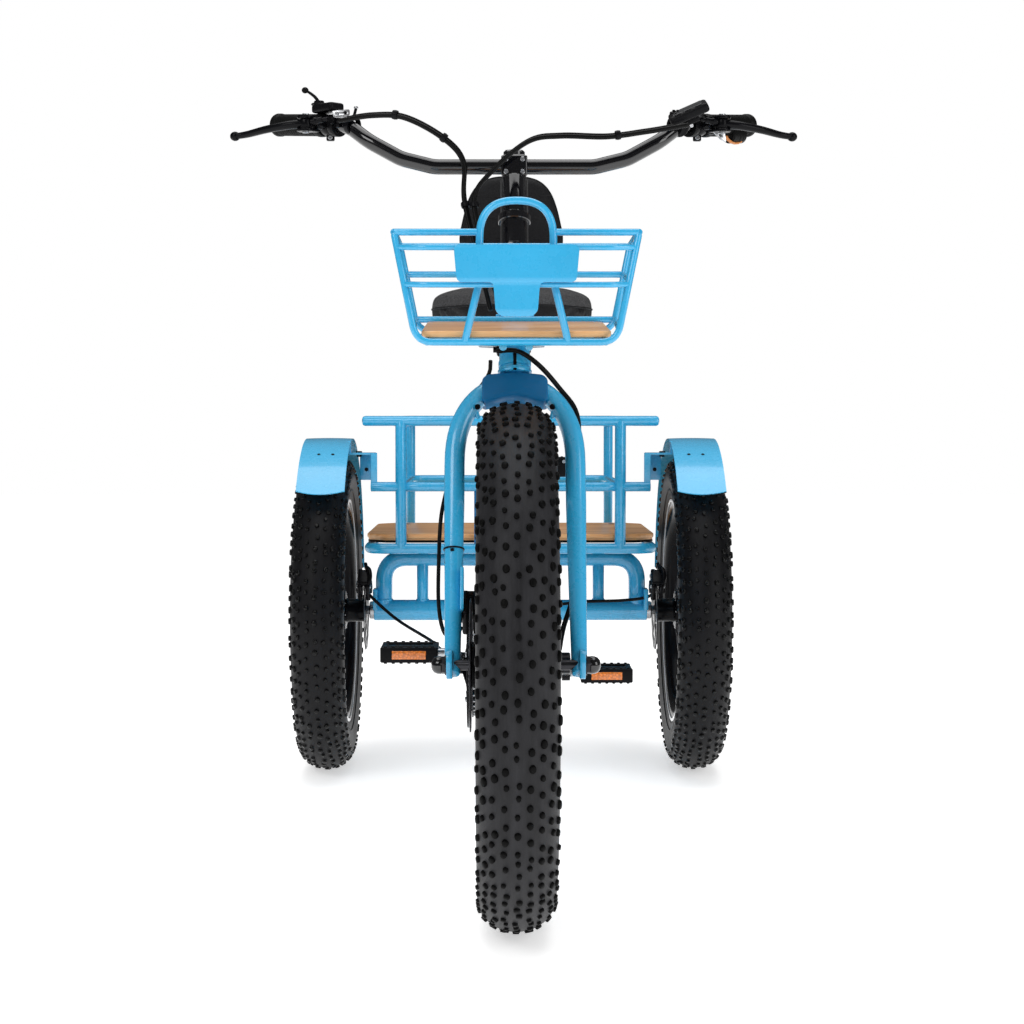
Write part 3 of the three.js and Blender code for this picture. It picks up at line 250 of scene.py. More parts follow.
def reflector_material(name, colour):
    """Moulded prismatic plastic over a bright backing."""
    material, tree, shader = new_material(name)
    cells = new_node(tree, "TexVoronoi", Scale=260)
    tree.links.new(coordinates(tree), cells.inputs["Vector"])
    deep = [c * 0.55 for c in colour]
    tree.links.new(ramp(tree, cells.outputs["Distance"], (0.1, colour), (0.7, deep)), shader.inputs["Base Color"])
    settings(shader, Roughness=0.12, Coat_Weight=1)
    bump(tree, shader, cells.outputs["Distance"], 0.6, 0.0008)
    return material


PAINT = coated("sky_blue_paint", (0.029, 0.395, 0.70), 0.05, (0.22, 0.34), coat=0.8, grain=(500, 0.04, 0.0003))
# A lighter copy of the sky blue paint for the fender sheets: painted light, where the light falls strongly on them.
FENDER_PAINT_PAINTED_LIGHT = coated("sky_blue_paint_painted_light", (0.075, 0.47, 0.78), 0.05, (0.2, 0.34), coat=0.6,
                      grain=(500, 0.04, 0.0003))
# A darker copy of the sky blue paint: painted shade, for parts that sit in shade, such as the fork crown facing down
# and forward.
PAINT_PAINTED_SHADE = coated("sky_blue_paint_painted_shade", (0.004, 0.13, 0.32), 0.05, (0.3, 0.45), coat=0.15, shine=0.2,
                    grain=(500, 0.04, 0.0003))
BLACK = coated("satin_black_coating", (0.004, 0.004, 0.005), 0.25, (0.16, 0.3), coat=0.03, grain=(1200, 0.06, 0.0003),
               shine=0.09)
GLOSS = coated("gloss_black_coating", (0.003, 0.003, 0.004), 0.2, (0.06, 0.14), coat=0.6, grain=(800, 0.02, 0.0002))
PLASTIC = coated("moulded_black_plastic", (0.005, 0.005, 0.006), 0.25, (0.26, 0.42), grain=(1500, 0.3, 0.0004),
                 shine=0.1)
RUBBER = coated("soft_black_rubber", (0.005, 0.005, 0.005), 0.3, (0.34, 0.55), grain=(1100, 0.25, 0.0004), shine=0.09)
CABLE = coated("cable_sheath", (0.004, 0.004, 0.004), 0.2, (0.3, 0.45), grain=(900, 0.1, 0.0003), shine=0.12)
KNOB = coated("tread_knob_rubber", (0.003, 0.003, 0.003), 0.35, (0.4, 0.55), grain=(600, 0.3, 0.0005), shine=0.06)
WET_KNOB = coated("rear_knob_rubber", (0.003, 0.003, 0.003), 0.3, (0.12, 0.4), grain=(160, 0.8, 0.002), shine=0.2)
# Light grey for the rims' machined lips: partly the metal's own colour, partly a painted highlight standing for its
# shine.
RIM_LIP_PAINTED_SHINE = coated("rim_lip_grey_with_painted_shine", (0.72, 0.72, 0.73), 0.1, (0.15, 0.3), coat=0.5)
CASING = casing_material("front_tyre_casing", (0.016, 0.016, 0.018))
CASING_REAR = casing_material("rear_tyre_casing", (0.004, 0.004, 0.005))
ALLOY = brushed("bright_alloy", (0.72, 0.73, 0.75), (0.2, 0.38))
STEEL = brushed("machined_steel", (0.55, 0.56, 0.58), (0.22, 0.4))
DARK_STEEL = brushed("blackened_steel", (0.05, 0.05, 0.055), (0.28, 0.48))
WOOD = wood_material("varnished_plywood")
SADDLE = upholstery("speckled_saddle_vinyl", (0.014, 0.014, 0.015), (0.14, 0.14, 0.145))
BACKREST = upholstery("black_backrest_vinyl", (0.003, 0.003, 0.004), (0.014, 0.014, 0.015))
AMBER = reflector_material("amber_reflector", (0.95, 0.24, 0.02))
EDGE_WOOD = wood_material("varnished_plywood_edge")
SIDE_BAND = upholstery("black_side_band_vinyl", (0.003, 0.003, 0.004), (0.012, 0.012, 0.013))
AMBER_BAND = coated("tan_grip_band", (0.55, 0.20, 0.05), 0.15, (0.35, 0.5), grain=(900, 0.1, 0.0003))
GLASS = coated("dark_screen_glass", (0.012, 0.013, 0.016), 0.1, (0.04, 0.09), coat=1.0, grain=(60, 0.0, 0.0001))


# ---------------------------------------------------------------- camera and light
CAMERA_LENS = 72.9
CAMERA_PLACE = v(-23, FRONT_Y - 2730, 680)
CAMERA_DOWN, CAMERA_ASIDE = 2.705, -0.373


def set_camera():
    data = bpy.data.cameras.new("camera")
    data.lens = CAMERA_LENS
    data.sensor_width = 36
    data.clip_end = 50
    camera = bpy.data.objects.new("camera", data)
    camera.location = CAMERA_PLACE * MM
    camera.rotation_euler = (math.radians(90 - CAMERA_DOWN), 0, math.radians(CAMERA_ASIDE))
    bpy.context.collection.objects.link(camera)
    bpy.context.scene.camera = camera


def area_light(name, location, target, size, power):
    data = bpy.data.lights.new(name, "AREA")
    data.shape = "RECTANGLE"
    data.size, data.size_y = size
    data.energy = power
    light = bpy.data.objects.new(name, data)
    light.location = location
    light.rotation_euler = (Vector(target) - Vector(location)).to_track_quat("-Z", "Y").to_euler()
    bpy.context.collection.objects.link(light)


def set_stage():
    scene = bpy.context.scene
    scene.view_settings.view_transform = "Standard"
    world = bpy.data.worlds.new("world")
    world.use_nodes = True
    tree = world.node_tree
    seen = settings(tree.nodes["Background"], Color=WHITE)
    lighting = new_node(tree, "Background", Color=WHITE, Strength=0.56)
    rays = new_node(tree, "LightPath")
    reflected = new_node(tree, "Background", Color=WHITE, Strength=0.10)

    def choose(ray, otherwise, chosen):
        mix = new_node(tree, "MixShader")
        tree.links.new(rays.outputs[ray], mix.inputs["Fac"])
        tree.links.new(otherwise.outputs[0], mix.inputs[1])
        tree.links.new(chosen.outputs[0], mix.inputs[2])
        return mix

    mix = choose("Is Camera Ray", choose("Is Glossy Ray", lighting, reflected), seen)
    tree.links.new(mix.outputs["Shader"], tree.nodes["World Output"].inputs["Surface"])
    scene.world = world
    area_light("key", (-2.2, -3.6, 3.2), (0, -0.3, 0.6), (2.4, 1.6), 50)
    area_light("fill", (3.0, -2.6, 1.8), (0, 0, 0.6), (1.6, 2.2), 34)
    area_light("top", (0, 0.3, 3.6), (0, 0.2, 0), (3.0, 3.0), 58)
    bm = bmesh.new()
    bmesh.ops.create_grid(bm, x_segments=1, y_segments=1, size=14)
    mesh = bpy.data.meshes.new("floor")
    bm.to_mesh(mesh)
    floor = bpy.data.objects.new("floor", mesh)
    floor.location = (0, 0, -0.0005)
    bpy.context.collection.objects.link(floor)
    mesh.materials.append(plain_white())


# ---------------------------------------------------------------- mesh helpers
def rounded(points, radius, cuts=8):
    """The corners of a polyline turned into bends."""
    stations = [points[0].copy()]
    for before, here, after in zip(points, points[1:], points[2:]):
        back, ahead = before - here, after - here
        half = (math.pi - back.angle(ahead)) / 2
        reach = min(radius * math.tan(half), 0.49 * min(back.length, ahead.length))
        start, end = here + back.normalized() * reach, here + ahead.normalized() * reach
        for i in range(cuts + 1):
            t = i / cuts
            stations.append(start * (1 - t) ** 2 + here * (2 * t * (1 - t)) + end * t * t)
    stations.append(points[-1].copy())
    return stations


def spline(points, count):
    """A smooth curve through the points, as evenly spaced stations."""
    ends = [points[0] * 2 - points[1], *points, points[-1] * 2 - points[-2]]
    dense = []
    for p0, p1, p2, p3 in zip(ends, ends[1:], ends[2:], ends[3:]):
        for i in range(12):
            t = i / 12
            dense.append(0.5 * ((2 * p1) + (p2 - p0) * t + (2 * p0 - 5 * p1 + 4 * p2 - p3) * t * t
                                + (3 * p1 - p0 - 3 * p2 + p3) * t ** 3))
    dense.append(points[-1].copy())
    lengths = [0.0]
    for a, b in zip(dense, dense[1:]):
        lengths.append(lengths[-1] + (b - a).length)
    out, j = [], 0
    for i in range(count + 1):
        want = lengths[-1] * i / count
        while j < len(dense) - 2 and lengths[j + 1] < want:
            j += 1
        step = lengths[j + 1] - lengths[j]
        out.append(dense[j].lerp(dense[j + 1], (want - lengths[j]) / step if step else 0))
    return out


def circle(count, start=0.0):
    return [(math.cos(angle), math.sin(angle)) for angle in (start + TAU * k / count for k in range(count))]


class Piece:
    """Closed shells gathered into one object, with a material for each group of faces."""

    def __init__(self, name, body, *materials):
        self.name, self.body, self.materials = name, body, materials
        self.bm = bmesh.new()
        self.index = 0

    def use(self, index):
        self.index = index
        return self

    def face(self, verts):
        try:
            face = self.bm.faces.new(verts)
        except ValueError:
            return
        face.material_index = self.index
        face.smooth = True

    def loft(self, sections, closed=False):
        """A skin over sections of points; it is capped, or joined end to start when closed."""
        rings = [[self.bm.verts.new(point * MM) for point in section] for section in sections]
        if closed:
            rings.append(rings[0])
        for low, high in zip(rings, rings[1:]):
            for i in range(len(low)):
                j = (i + 1) % len(low)
                self.face((low[i], low[j], high[j], high[i]))
        if not closed:
            self.face(list(reversed(rings[0])))
            self.face(rings[-1])
        return self

    def sweep(self, stations, radius, sides=20, flat=1.0, round_end=0.25):
        """A round or flattened bar along stations; radius may be a list with one for each."""
        radii = radius if isinstance(radius, list) else [radius] * len(stations)
        tangents = []
        for i in range(len(stations)):
            a, b = stations[max(i - 1, 0)], stations[min(i + 1, len(stations) - 1)]
            tangents.append((b - a).normalized())
        side = tangents[0].orthogonal().normalized() if flat == 1.0 else tangents[0].cross(v(0, 0, 1)).normalized()
        rings = []

        def ring(centre, normal_side, tangent, size):
            other = tangent.cross(normal_side).normalized()
            offsets = [normal_side * c + other * s * flat for c, s in circle(sides)]
            rings.append([centre + offset * size for offset in offsets])

        edge = radii[0] * round_end
        fillet = (0, math.pi / 4, math.pi / 2)
        for turn in fillet:
            ring(stations[0] + tangents[0] * edge * (1 - math.cos(turn)), side, tangents[0],
                 radii[0] - edge * (1 - math.sin(turn)))
        for centre, tangent, size in zip(stations[1:-1], tangents[1:-1], radii[1:-1]):
            side = (side - tangent * side.dot(tangent)).normalized()
            ring(centre, side, tangent, size)
        side = (side - tangents[-1] * side.dot(tangents[-1])).normalized()
        edge = radii[-1] * round_end
        for turn in reversed(fillet):
            ring(stations[-1] - tangents[-1] * edge * (1 - math.cos(turn)), side, tangents[-1],
                 radii[-1] - edge * (1 - math.sin(turn)))
        return self.loft(rings)

    def tube(self, points, radius, bend=30, sides=20, cuts=8, round_end=0.25):
        return self.sweep(rounded(points, bend, cuts), radius, sides, round_end=round_end)

    def rod(self, a, b, radius, sides=16, end_radius=None):
        return self.sweep([a, b], [radius, end_radius or radius], sides, round_end=0.15)

    def lathe(self, profile, centre, axis, segments, closed=True):
        """Turn [radius, along] pairs about an axle; a closed profile makes a ring."""
        axis = Vector(axis).normalized()
        side = axis.orthogonal().normalized()
        other = axis.cross(side)
        sections = [[centre + axis * along + (side * c * radius + other * s * radius) for c, s in circle(segments)]
                    for radius, along in profile]
        return self.loft(sections, closed)

    def solid(self, profile, centre, axis, segments):
        """A turned solid with flat ends."""
        return self.lathe(profile, centre, axis, segments, closed=False)

    def bush(self, inner, outer, low, high, edge, centre, axis, segments):
        """A ring from low to high along its axle; edge is how far its rims narrow, and over what length."""
        narrow, slope = edge
        profile = [(inner, low), (outer - narrow, low), (outer, low + slope), (outer, high - slope),
                   (outer - narrow, high), (inner, high)]
        return self.lathe(profile, centre, axis, segments)

    def add(self, other, matrix):
        """Copy a small bmesh into this one; the other is in millimetres."""
        made = {vert: self.bm.verts.new((matrix @ vert.co) * MM) for vert in other.verts}
        for face in other.faces:
            self.face([made[vert] for vert in face.verts])
        other.free()
        return self

    def box(self, size, centre, rotation=(0, 0, 0), bevel=2.0, segments=3, taper=1.0, turn=None):
        small = bmesh.new()
        bmesh.ops.create_cube(small, size=1)
        for vert in small.verts:
            grow = taper if vert.co.z > 0 else 1.0
            vert.co = v(vert.co.x * size[0] * grow, vert.co.y * size[1] * grow, vert.co.z * size[2])
        bmesh.ops.bevel(small, geom=small.edges[:], offset=bevel, segments=segments, affect="EDGES", profile=0.6)
        if turn is None:
            turn = Matrix.Rotation(rotation[2], 4, "Z") @ Matrix.Rotation(rotation[1], 4, "Y")
            turn = turn @ Matrix.Rotation(rotation[0], 4, "X")
        return self.add(small, Matrix.Translation(centre) @ turn)

    def ball(self, radius, centre, squash=(1, 1, 1), segments=20):
        small = bmesh.new()
        bmesh.ops.create_uvsphere(small, u_segments=segments, v_segments=segments // 2, radius=radius)
        return self.add(small, Matrix.Translation(centre) @ Matrix.Diagonal((*squash, 1)))

    def plate(self, loops, thickness, place, bevel=0.4):
        """A flat sheet with holes: the first loop is the outline; place maps X-Y to the row's frame."""
        curve = bpy.data.curves.new("outline", "CURVE")
        curve.dimensions = "2D"
        curve.fill_mode = "BOTH"
        curve.extrude = max(thickness / 2 - bevel, 0.05)
        curve.bevel_depth = bevel
        curve.bevel_resolution = 1
        for loop in loops:
            line = curve.splines.new("POLY")
            line.points.add(len(loop) - 1)
            for point, (x, y) in zip(line.points, loop):
                point.co = (x, y, 0, 1)
            line.use_cyclic_u = True
        holder = bpy.data.objects.new("outline", curve)
        mesh = bpy.data.meshes.new_from_object(holder)
        small = bmesh.new()
        small.from_mesh(mesh)
        bmesh.ops.remove_doubles(small, verts=small.verts[:], dist=0.001)
        bpy.data.meshes.remove(mesh)
        bpy.data.objects.remove(holder)
        bpy.data.curves.remove(curve)
        return self.add(small, place)

    def bolt(self, at, direction, radius=4.0, height=3.0, socket=True):
        """A socket-head or hexagon bolt head, standing on a surface."""
        direction = Vector(direction).normalized()
        sides = 24 if socket else 6
        profile = [(radius, 0), (radius, height * 0.8), (radius * 0.86, height)]
        if socket:
            profile += [(radius * 0.5, height), (radius * 0.5, height * 0.4)]
        return self.solid(profile, at, direction, sides)

    def finish(self, *replaced, smooth=38, slot=None):
        mesh = bpy.data.meshes.new(self.name)
        bmesh.ops.recalc_face_normals(self.bm, faces=self.bm.faces[:])
        self.bm.to_mesh(mesh)
        self.bm.free()
        for material in self.materials:
            mesh.materials.append(material)
        mesh.set_sharp_from_angle(angle=math.radians(smooth))
        piece = bpy.data.objects.new(self.name, mesh)
        bpy.context.collection.objects.link(piece)
        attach(piece, self.body)
        if replaced:
            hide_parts(*replaced)
        return piece


def facing(origin, normal):
    """Maps the X-Y plane to the plane at origin with this normal; Y runs up."""
    normal = Vector(normal).normalized()
    across = Vector(UP).cross(normal).normalized()
    upward = normal.cross(across)
    turn = Matrix((across, upward, normal)).transposed().to_4x4()
    return Matrix.Translation(origin) @ turn


def ring_points(radius, count, centre=(0, 0), wave=0.0, waves=0):
    points = []
    for i in range(count):
        angle = TAU * i / count
        size = radius + wave * math.cos(waves * angle)
        points.append((centre[0] + size * math.cos(angle), centre[1] + size * math.sin(angle)))
    return points


def rounded_outline(points, radius, cuts=5):
    """A closed outline with its corners rounded."""
    out = []
    for i, here in enumerate(points):
        here = Vector(here)
        back = Vector(points[i - 1]) - here
        ahead = Vector(points[(i + 1) % len(points)]) - here
        reach = min(radius, 0.45 * back.length, 0.45 * ahead.length)
        start, end = here + back.normalized() * reach, here + ahead.normalized() * reach
        for k in range(cuts + 1):
            t = k / cuts
            spot = start * (1 - t) ** 2 + here * (2 * t * (1 - t)) + end * t * t
            out.append((spot.x, spot.y))
    return out


# ---------------------------------------------------------------- wheels
CASING_HALF = {FRONT_R: 50.5, REAR_R: 48.5}
KNOB_HEIGHT = 4.0


def casing_point(radius, angle):
    """A place on the casing's crown arc, and the outward direction, as (x, r) pairs."""
    reach = 46 - KNOB_HEIGHT
    half = CASING_HALF[radius]
    x, r = half * math.sin(angle), radius - 46 + reach * math.cos(angle)
    normal = Vector((math.sin(angle) / half, math.cos(angle) / reach)).normalized()
    return x, r, normal


def casing_profile(radius):
    edge = radius - RIM_EDGE_DEPTH
    half = []
    for i in range(15):
        angle = math.radians(102) * i / 14
        x, r, _ = casing_point(radius, angle)
        half.append((r, x))
    lower = [(edge + 26, 45.0), (edge + 21, 44.2), (edge + 20, 44.9), (edge + 17, 44.9), (edge + 16, 43.2),
             (edge + 9, 41.6), (edge + 7.5, 42.0), (edge + 5, 41.6), (edge + 1.5, 39.8), (edge + 1.2, 37.6),
             (edge - 11, 29.2), (edge - 11, 25), (edge + 6, 30)]
    inner = [(radius - 46, 40), (radius - 26, 34), (radius - 13, 18)]
    half = half[1:] + lower + inner
    return [(radius - KNOB_HEIGHT, 0)] + half + [(r, -x) for r, x in reversed(half)]


def knob(piece, centre, across, along, out, size):
    """One tread block: a tapered block with a softened top, sunk a little in the casing."""
    width, length, height, sides = size
    rings = []
    for scale, level in ((1.12, -1.5), (1.04, height * 0.35), (0.94, height * 0.85), (0.78, height)):
        rings.append([centre + across * (c * width * scale) + along * (s * length * scale) + out * level
                      for c, s in circle(sides, math.pi / sides)])
    piece.loft(rings)


def tread(piece, radius, centre, rows, layout):
    """Rows of blocks round the tyre; layout lists (angle across, row shift, size) for one side."""
    for row in range(rows):
        for degrees, shift, size in layout:
            for sign in ((1, -1) if degrees else (1,)):
                across_angle = math.radians(degrees) * sign
                x, r, normal = casing_point(radius, across_angle)
                turn = TAU * (row + shift) / rows
                radial = v(0, math.cos(turn), math.sin(turn))
                out = (Vector(ACROSS) * normal.x + radial * normal.y).normalized()
                along = v(0, -math.sin(turn), math.cos(turn))
                across = along.cross(out).normalized()
                spot = centre + v(x, 0, 0) + radial * r
                slip = random.uniform(-6.0, 6.0)
                drift = random.uniform(-2.6, 2.6)
                grow = random.uniform(0.66, 1.0)
                wide, long, high, sides = size
                knob(piece, spot + along * slip + across * drift, across, along, out,
                     (wide * grow, long * grow, high, sides))


FRONT_LAYOUT = (
    (0, 0.0, (4.4, 5.8, 3.2, 12)),
    (18, 0.5, (4.2, 5.4, 3.2, 12)),
    (35, 0.0, (4.3, 5.6, 3.2, 12)),
    (53, 0.5, (4.2, 6.2, 3.2, 12)),
    (72, 0.0, (3.6, 7.0, 3.2, 12)),
)
REAR_LAYOUT = (
    (0, 0.0, (5.0, 5.6, 3.9, 8)),
    (20, 0.5, (4.4, 5.2, 3.9, 8)),
    (38, 0.0, (4.4, 5.4, 3.8, 8)),
    (56, 0.5, (4.3, 6.0, 3.7, 8)),
    (74, 0.0, (3.6, 7.4, 3.4, 8)),
)


def build_tyre(name, body, node, radius, centre, casing, rows, layout):
    piece = Piece(name, body, casing, KNOB if radius == FRONT_R else WET_KNOB)
    piece.lathe(casing_profile(radius), centre, ACROSS, 144)
    piece.use(1)
    tread(piece, radius, centre, rows, layout)
    piece.finish(node, smooth=42, slot="tyre")


def build_rim(name, body, node, radius, centre):
    edge = radius - RIM_EDGE_DEPTH
    half = [(edge - 12, 29.5), (edge - 1.2, 36.8), (edge - 0.2, 38.2), (edge, 39.0), (edge - 0.6, 39.9),
            (edge - 2.6, 40), (edge - 4, 39.0), (edge - 11, 38.6), (edge - 16, 36.5), (edge - 22, 30),
            (edge - 24, 25)]
    profile = half + [(r, -x) for r, x in reversed(half)]
    piece = Piece(name, body, BLACK)
    piece.lathe(profile, centre, ACROSS, 128)
    # valve stem
    piece.rod(centre + v(6, 0, -(edge - 25)), centre + v(6, 0, -(edge - 60)), 3.2, 12)
    piece.rod(centre + v(6, 0, -(edge - 24)), centre + v(6, 0, -(edge - 30)), 5, 6)
    piece.finish(node, slot="black_metal")
    # the machined edge of each flange: light grey, partly its own colour and partly a painted highlight for its shine
    trim = Piece(name + "_lip_painted_shine", body, RIM_LIP_PAINTED_SHINE)
    for sign in (1, -1):
        lip = [(edge + 0.1, 38.6), (edge + 0.9, 39.6), (edge + 0.5, 40.9), (edge - 5.2, 41.0), (edge - 5.4, 39.2)]
        trim.lathe([(r, x * sign) for r, x in lip], centre, ACROSS, 128)
    trim.finish(slot="alloy")


def build_spokes(name, body, centre, flange_r, flange_x, rim_r, lean):
    """Crossed spokes with their nipples and heads."""
    count = 36
    piece = Piece(name, body, DARK_STEEL, STEEL)
    for i in range(count):
        side = 1 if i % 2 else -1
        cross = (1 if (i // 2) % 2 else -1) * lean
        outer = TAU * (i + 0.5) / count
        inner = outer + cross
        bow = 1.4 if (i // 2) % 2 else -1.4
        head = centre + v(side * (flange_x + bow), flange_r * math.cos(inner), flange_r * math.sin(inner))
        end = centre + v(side * 9, rim_r * math.cos(outer), rim_r * math.sin(outer))
        elbow = head.lerp(end, 0.06)
        piece.use(0).sweep([head, elbow, end], 1.05, 8)
        inward = (head - end).normalized()
        piece.use(1).rod(end - inward * 1.5, end + inward * 11, 2.3, 8, 1.7)
        piece.ball(2.0, head + v(side * 1.0, 0, 0), segments=8)
    piece.finish(slot="black_metal")


def rotor_loops(outer, inner_track, hub_r, bore):
    """A wavy brake disc: a slotted track on six swept arms around a carrier ring."""
    loops = [ring_points(outer, 96, wave=-0.018 * outer, waves=12)]
    arms = 6
    for i in range(arms):
        start, width = TAU * i / arms, TAU / arms
        window = []
        for k in range(9):
            angle = start + width * (0.13 + 0.74 * k / 8) + 0.22
            window.append((inner_track * math.cos(angle), inner_track * math.sin(angle)))
        for k in range(7):
            angle = start + width * (0.80 - 0.6 * k / 6)
            window.append((hub_r * math.cos(angle), hub_r * math.sin(angle)))
        loops.append(window)
    middle = (outer + inner_track) / 2
    for i in range(24):
        angle = TAU * (i + 0.5) / 24
        reach = (outer - inner_track) * (0.16 if i % 2 else -0.12)
        loops.append(ring_points(2.3, 8, ((middle + reach) * math.cos(angle), (middle + reach) * math.sin(angle))))
    loops.append(ring_points(bore, 24))
    return loops


def build_rotor(name, body, node, centre, outer, bore):
    piece = Piece(name, body, DARK_STEEL)
    piece.plate(rotor_loops(outer, outer * 0.80, outer * 0.36, bore), 1.9, facing(centre, ACROSS), bevel=0.2)
    side = math.copysign(1, -centre.x)
    for i in range(6):
        angle = TAU * i / 6 + 0.2
        spot = centre + v(0, math.cos(angle), math.sin(angle)) * outer * 0.27
        piece.bolt(spot + v(-side * 0.9, 0, 0), (-side, 0, 0), 3.6, 2.2)
    piece.finish(node, slot="steel")


def build_front_wheel():
    centre = FRONT_HUB
    body = "front_wheel"
    build_tyre("front_tyre_tread", body, "front_tyre", FRONT_R, centre, CASING, 88, FRONT_LAYOUT)
    build_rim("front_rim_detail", body, "front_rim", FRONT_R, centre)
    build_spokes("front_spokes", body, centre, 92, 25, FRONT_R - RIM_EDGE_DEPTH - 24.5, lean=0.28)
    motor = Piece("front_motor_casing", body, GLOSS, STEEL)
    profile = [(7.4, -44), (18, -44), (20, -43), (30, -41), (34, -36), (60, -31), (84, -29), (88, -28.5), (96, -28),
               (97, -27), (97, -23), (96, -22), (91, -20.5), (90, -19)]
    ribs = []
    for i in range(9):
        x = -16 + 4 * i
        ribs += [(90, x - 1.6), (91.2, x - 1), (91.2, x + 1), (90, x + 1.6)]
    mirrored = [(r, -x) for r, x in reversed(profile)]
    mirrored[-1] = (7.4, 42)
    motor.lathe(profile + ribs + mirrored, centre, ACROSS, 96)
    for sign in (1, -1):
        for i in range(9):
            angle = TAU * i / 9
            spot = centre + v(sign * 30.2, 76 * math.cos(angle), 76 * math.sin(angle))
            motor.use(1).bolt(spot, (sign, 0, 0), 3.6, 2.6)
    motor.finish("front_hub_motor", slot="black_metal")
    build_rotor("front_rotor_disc", body, "front_brake_rotor", v(FRONT_ROTOR_X, FRONT_Y, FRONT_Z), 87, 12)
    carrier = Piece("front_rotor_carrier", body, BLACK)
    carrier.lathe([(12, -44.4), (30, -44.4), (31, -46), (31, -57.5), (29, -58.8), (12, -58.8)], centre, ACROSS, 48)
    carrier.finish(slot="black_metal")


def build_rear_wheels():
    for name, sign in SIDES:
        centre = v(sign * REAR_X, REAR_Y, REAR_Z)
        body = "rear_wheel_" + name
        build_tyre("rear_tyre_tread_" + name, body, "rear_tyre_" + name, REAR_R, centre, CASING_REAR, 80, REAR_LAYOUT)
        build_rim("rear_rim_detail_" + name, body, "rear_rim_" + name, REAR_R, centre)
        build_spokes("rear_spokes_" + name, body, centre, 33, 31, REAR_R - RIM_EDGE_DEPTH - 24.5, lean=0.62)
        hub = Piece("rear_hub_shell_" + name, body, BLACK, STEEL)
        inward = -sign
        reach = REAR_X - 278
        profile = [(8.9, reach - 2), (14, reach - 2), (21, reach - 3), (22, reach - 5), (22, 40), (24, 36),
                   (36, 33.5), (37, 32), (37, 30), (36, 28.5), (24, 27), (20, 24), (18.5, 10), (18.5, -10), (20, -24),
                   (24, -27), (36, -28.5), (37, -30), (37, -32), (36, -33.5), (24, -34), (20, -36), (17, -38),
                   (8.9, -38)]
        hub.lathe([(r, x * inward) for r, x in profile], centre, ACROSS, 48)
        hub.finish("rear_hub_" + name, slot="black_metal")
        build_rotor("rear_rotor_disc_" + name, body, "rear_rotor_" + name, v(sign * ROTOR_X, REAR_Y, REAR_Z), 75, 9.2)


# ---------------------------------------------------------------- calipers
def build_caliper(name, body, node, centre, tilt):
    """A two-piece disc caliper with its pad slot over the rotor, arm and bolts."""
    piece = Piece(name, body, BLACK, STEEL)
    turn = Matrix.Translation(centre) @ Matrix.Rotation(tilt, 4, "X")

    def at(x, y, z):
        return turn @ v(x, y, z)

    for sign in (1, -1):
        piece.box((9, 46, 42), at(sign * 7.4, 0, 2), (tilt, 0, 0), bevel=4, segments=4)
        piece.solid([(0.6, -1), (11, -1), (12.5, 1), (12, 4), (0.6, 5)], at(sign * 10.5, -2, -2), (sign, 0, 0), 32)
        for along in (13, -13):
            piece.use(1).bolt(at(sign * 11.8, along, 12), (sign, 0, 0), 3.4, 2).use(0)
    piece.box((22, 34, 12), at(0, 0, 22), (tilt, 0, 0), bevel=4, segments=4)
    piece.sweep(spline([at(9, -16, 22), at(12, -6, 31), at(10, 10, 33), at(4, 22, 27)], 14), 4.6, 16)
    piece.rod(at(4, 22, 27), at(2, 34, 24), 3.4, 14)
    piece.finish(node, slot="black_metal")


def build_calipers():
    build_caliper("front_brake_caliper", "steering", "front_caliper", v(FRONT_ROTOR_X, FRONT_Y + 66, FRONT_Z + 62),
                  -0.85)
    for name, sign in SIDES:
        spot = v(sign * ROTOR_X, REAR_Y - 54, REAR_Z + 52)
        build_caliper("rear_brake_caliper_" + name, "frame", "rear_caliper_" + name, spot, 0.8)


# ---------------------------------------------------------------- fork and steering column
STEER = v(0, math.cos(math.radians(69)), math.sin(math.radians(69)))
STEER_TURN = Matrix.Rotation(math.radians(69) - math.pi / 2, 4, "X")
LEG_X = 84
LEG_FOOT_Z = FRONT_Z - 12
LEG_HEIGHT = 274
ARCH_BASE_Z = LEG_FOOT_Z + LEG_HEIGHT
ARCH_TOP_Z = 722
CROWN_Z = 709


def on_steer(z):
    return v(0, steer_y(z), z)


def in_front(x, z, ahead):
    return v(x, steer_y(z) - ahead, z)


def leg_point(sign, z):
    rise = (z - LEG_FOOT_Z) / LEG_HEIGHT
    return v(sign * LEG_X, steer_y(z) - 50 * (1 - rise) ** 2, z)


def fork_line():
    leg = [leg_point(-1, LEG_FOOT_Z + LEG_HEIGHT * i / 10) for i in range(11)]
    arch = []
    for i in range(1, 32):
        angle = math.pi - math.pi * i / 32
        z = ARCH_BASE_Z + (ARCH_TOP_Z - ARCH_BASE_Z) * math.sin(angle) ** 0.85
        arch.append(v(LEG_X * math.cos(angle), steer_y(z), z))
    other = [v(-p.x, p.y, p.z) for p in reversed(leg)]
    return leg + arch + other


def weld(piece, centre, axis, radius, size=2.2):
    """The small rippled bead where one tube is welded to another."""
    profile = []
    for k in range(8):
        angle = TAU * k / 8
        profile.append((radius + size * 0.8 * math.cos(angle), size * math.sin(angle)))
    piece.lathe(profile, centre, axis, 40)


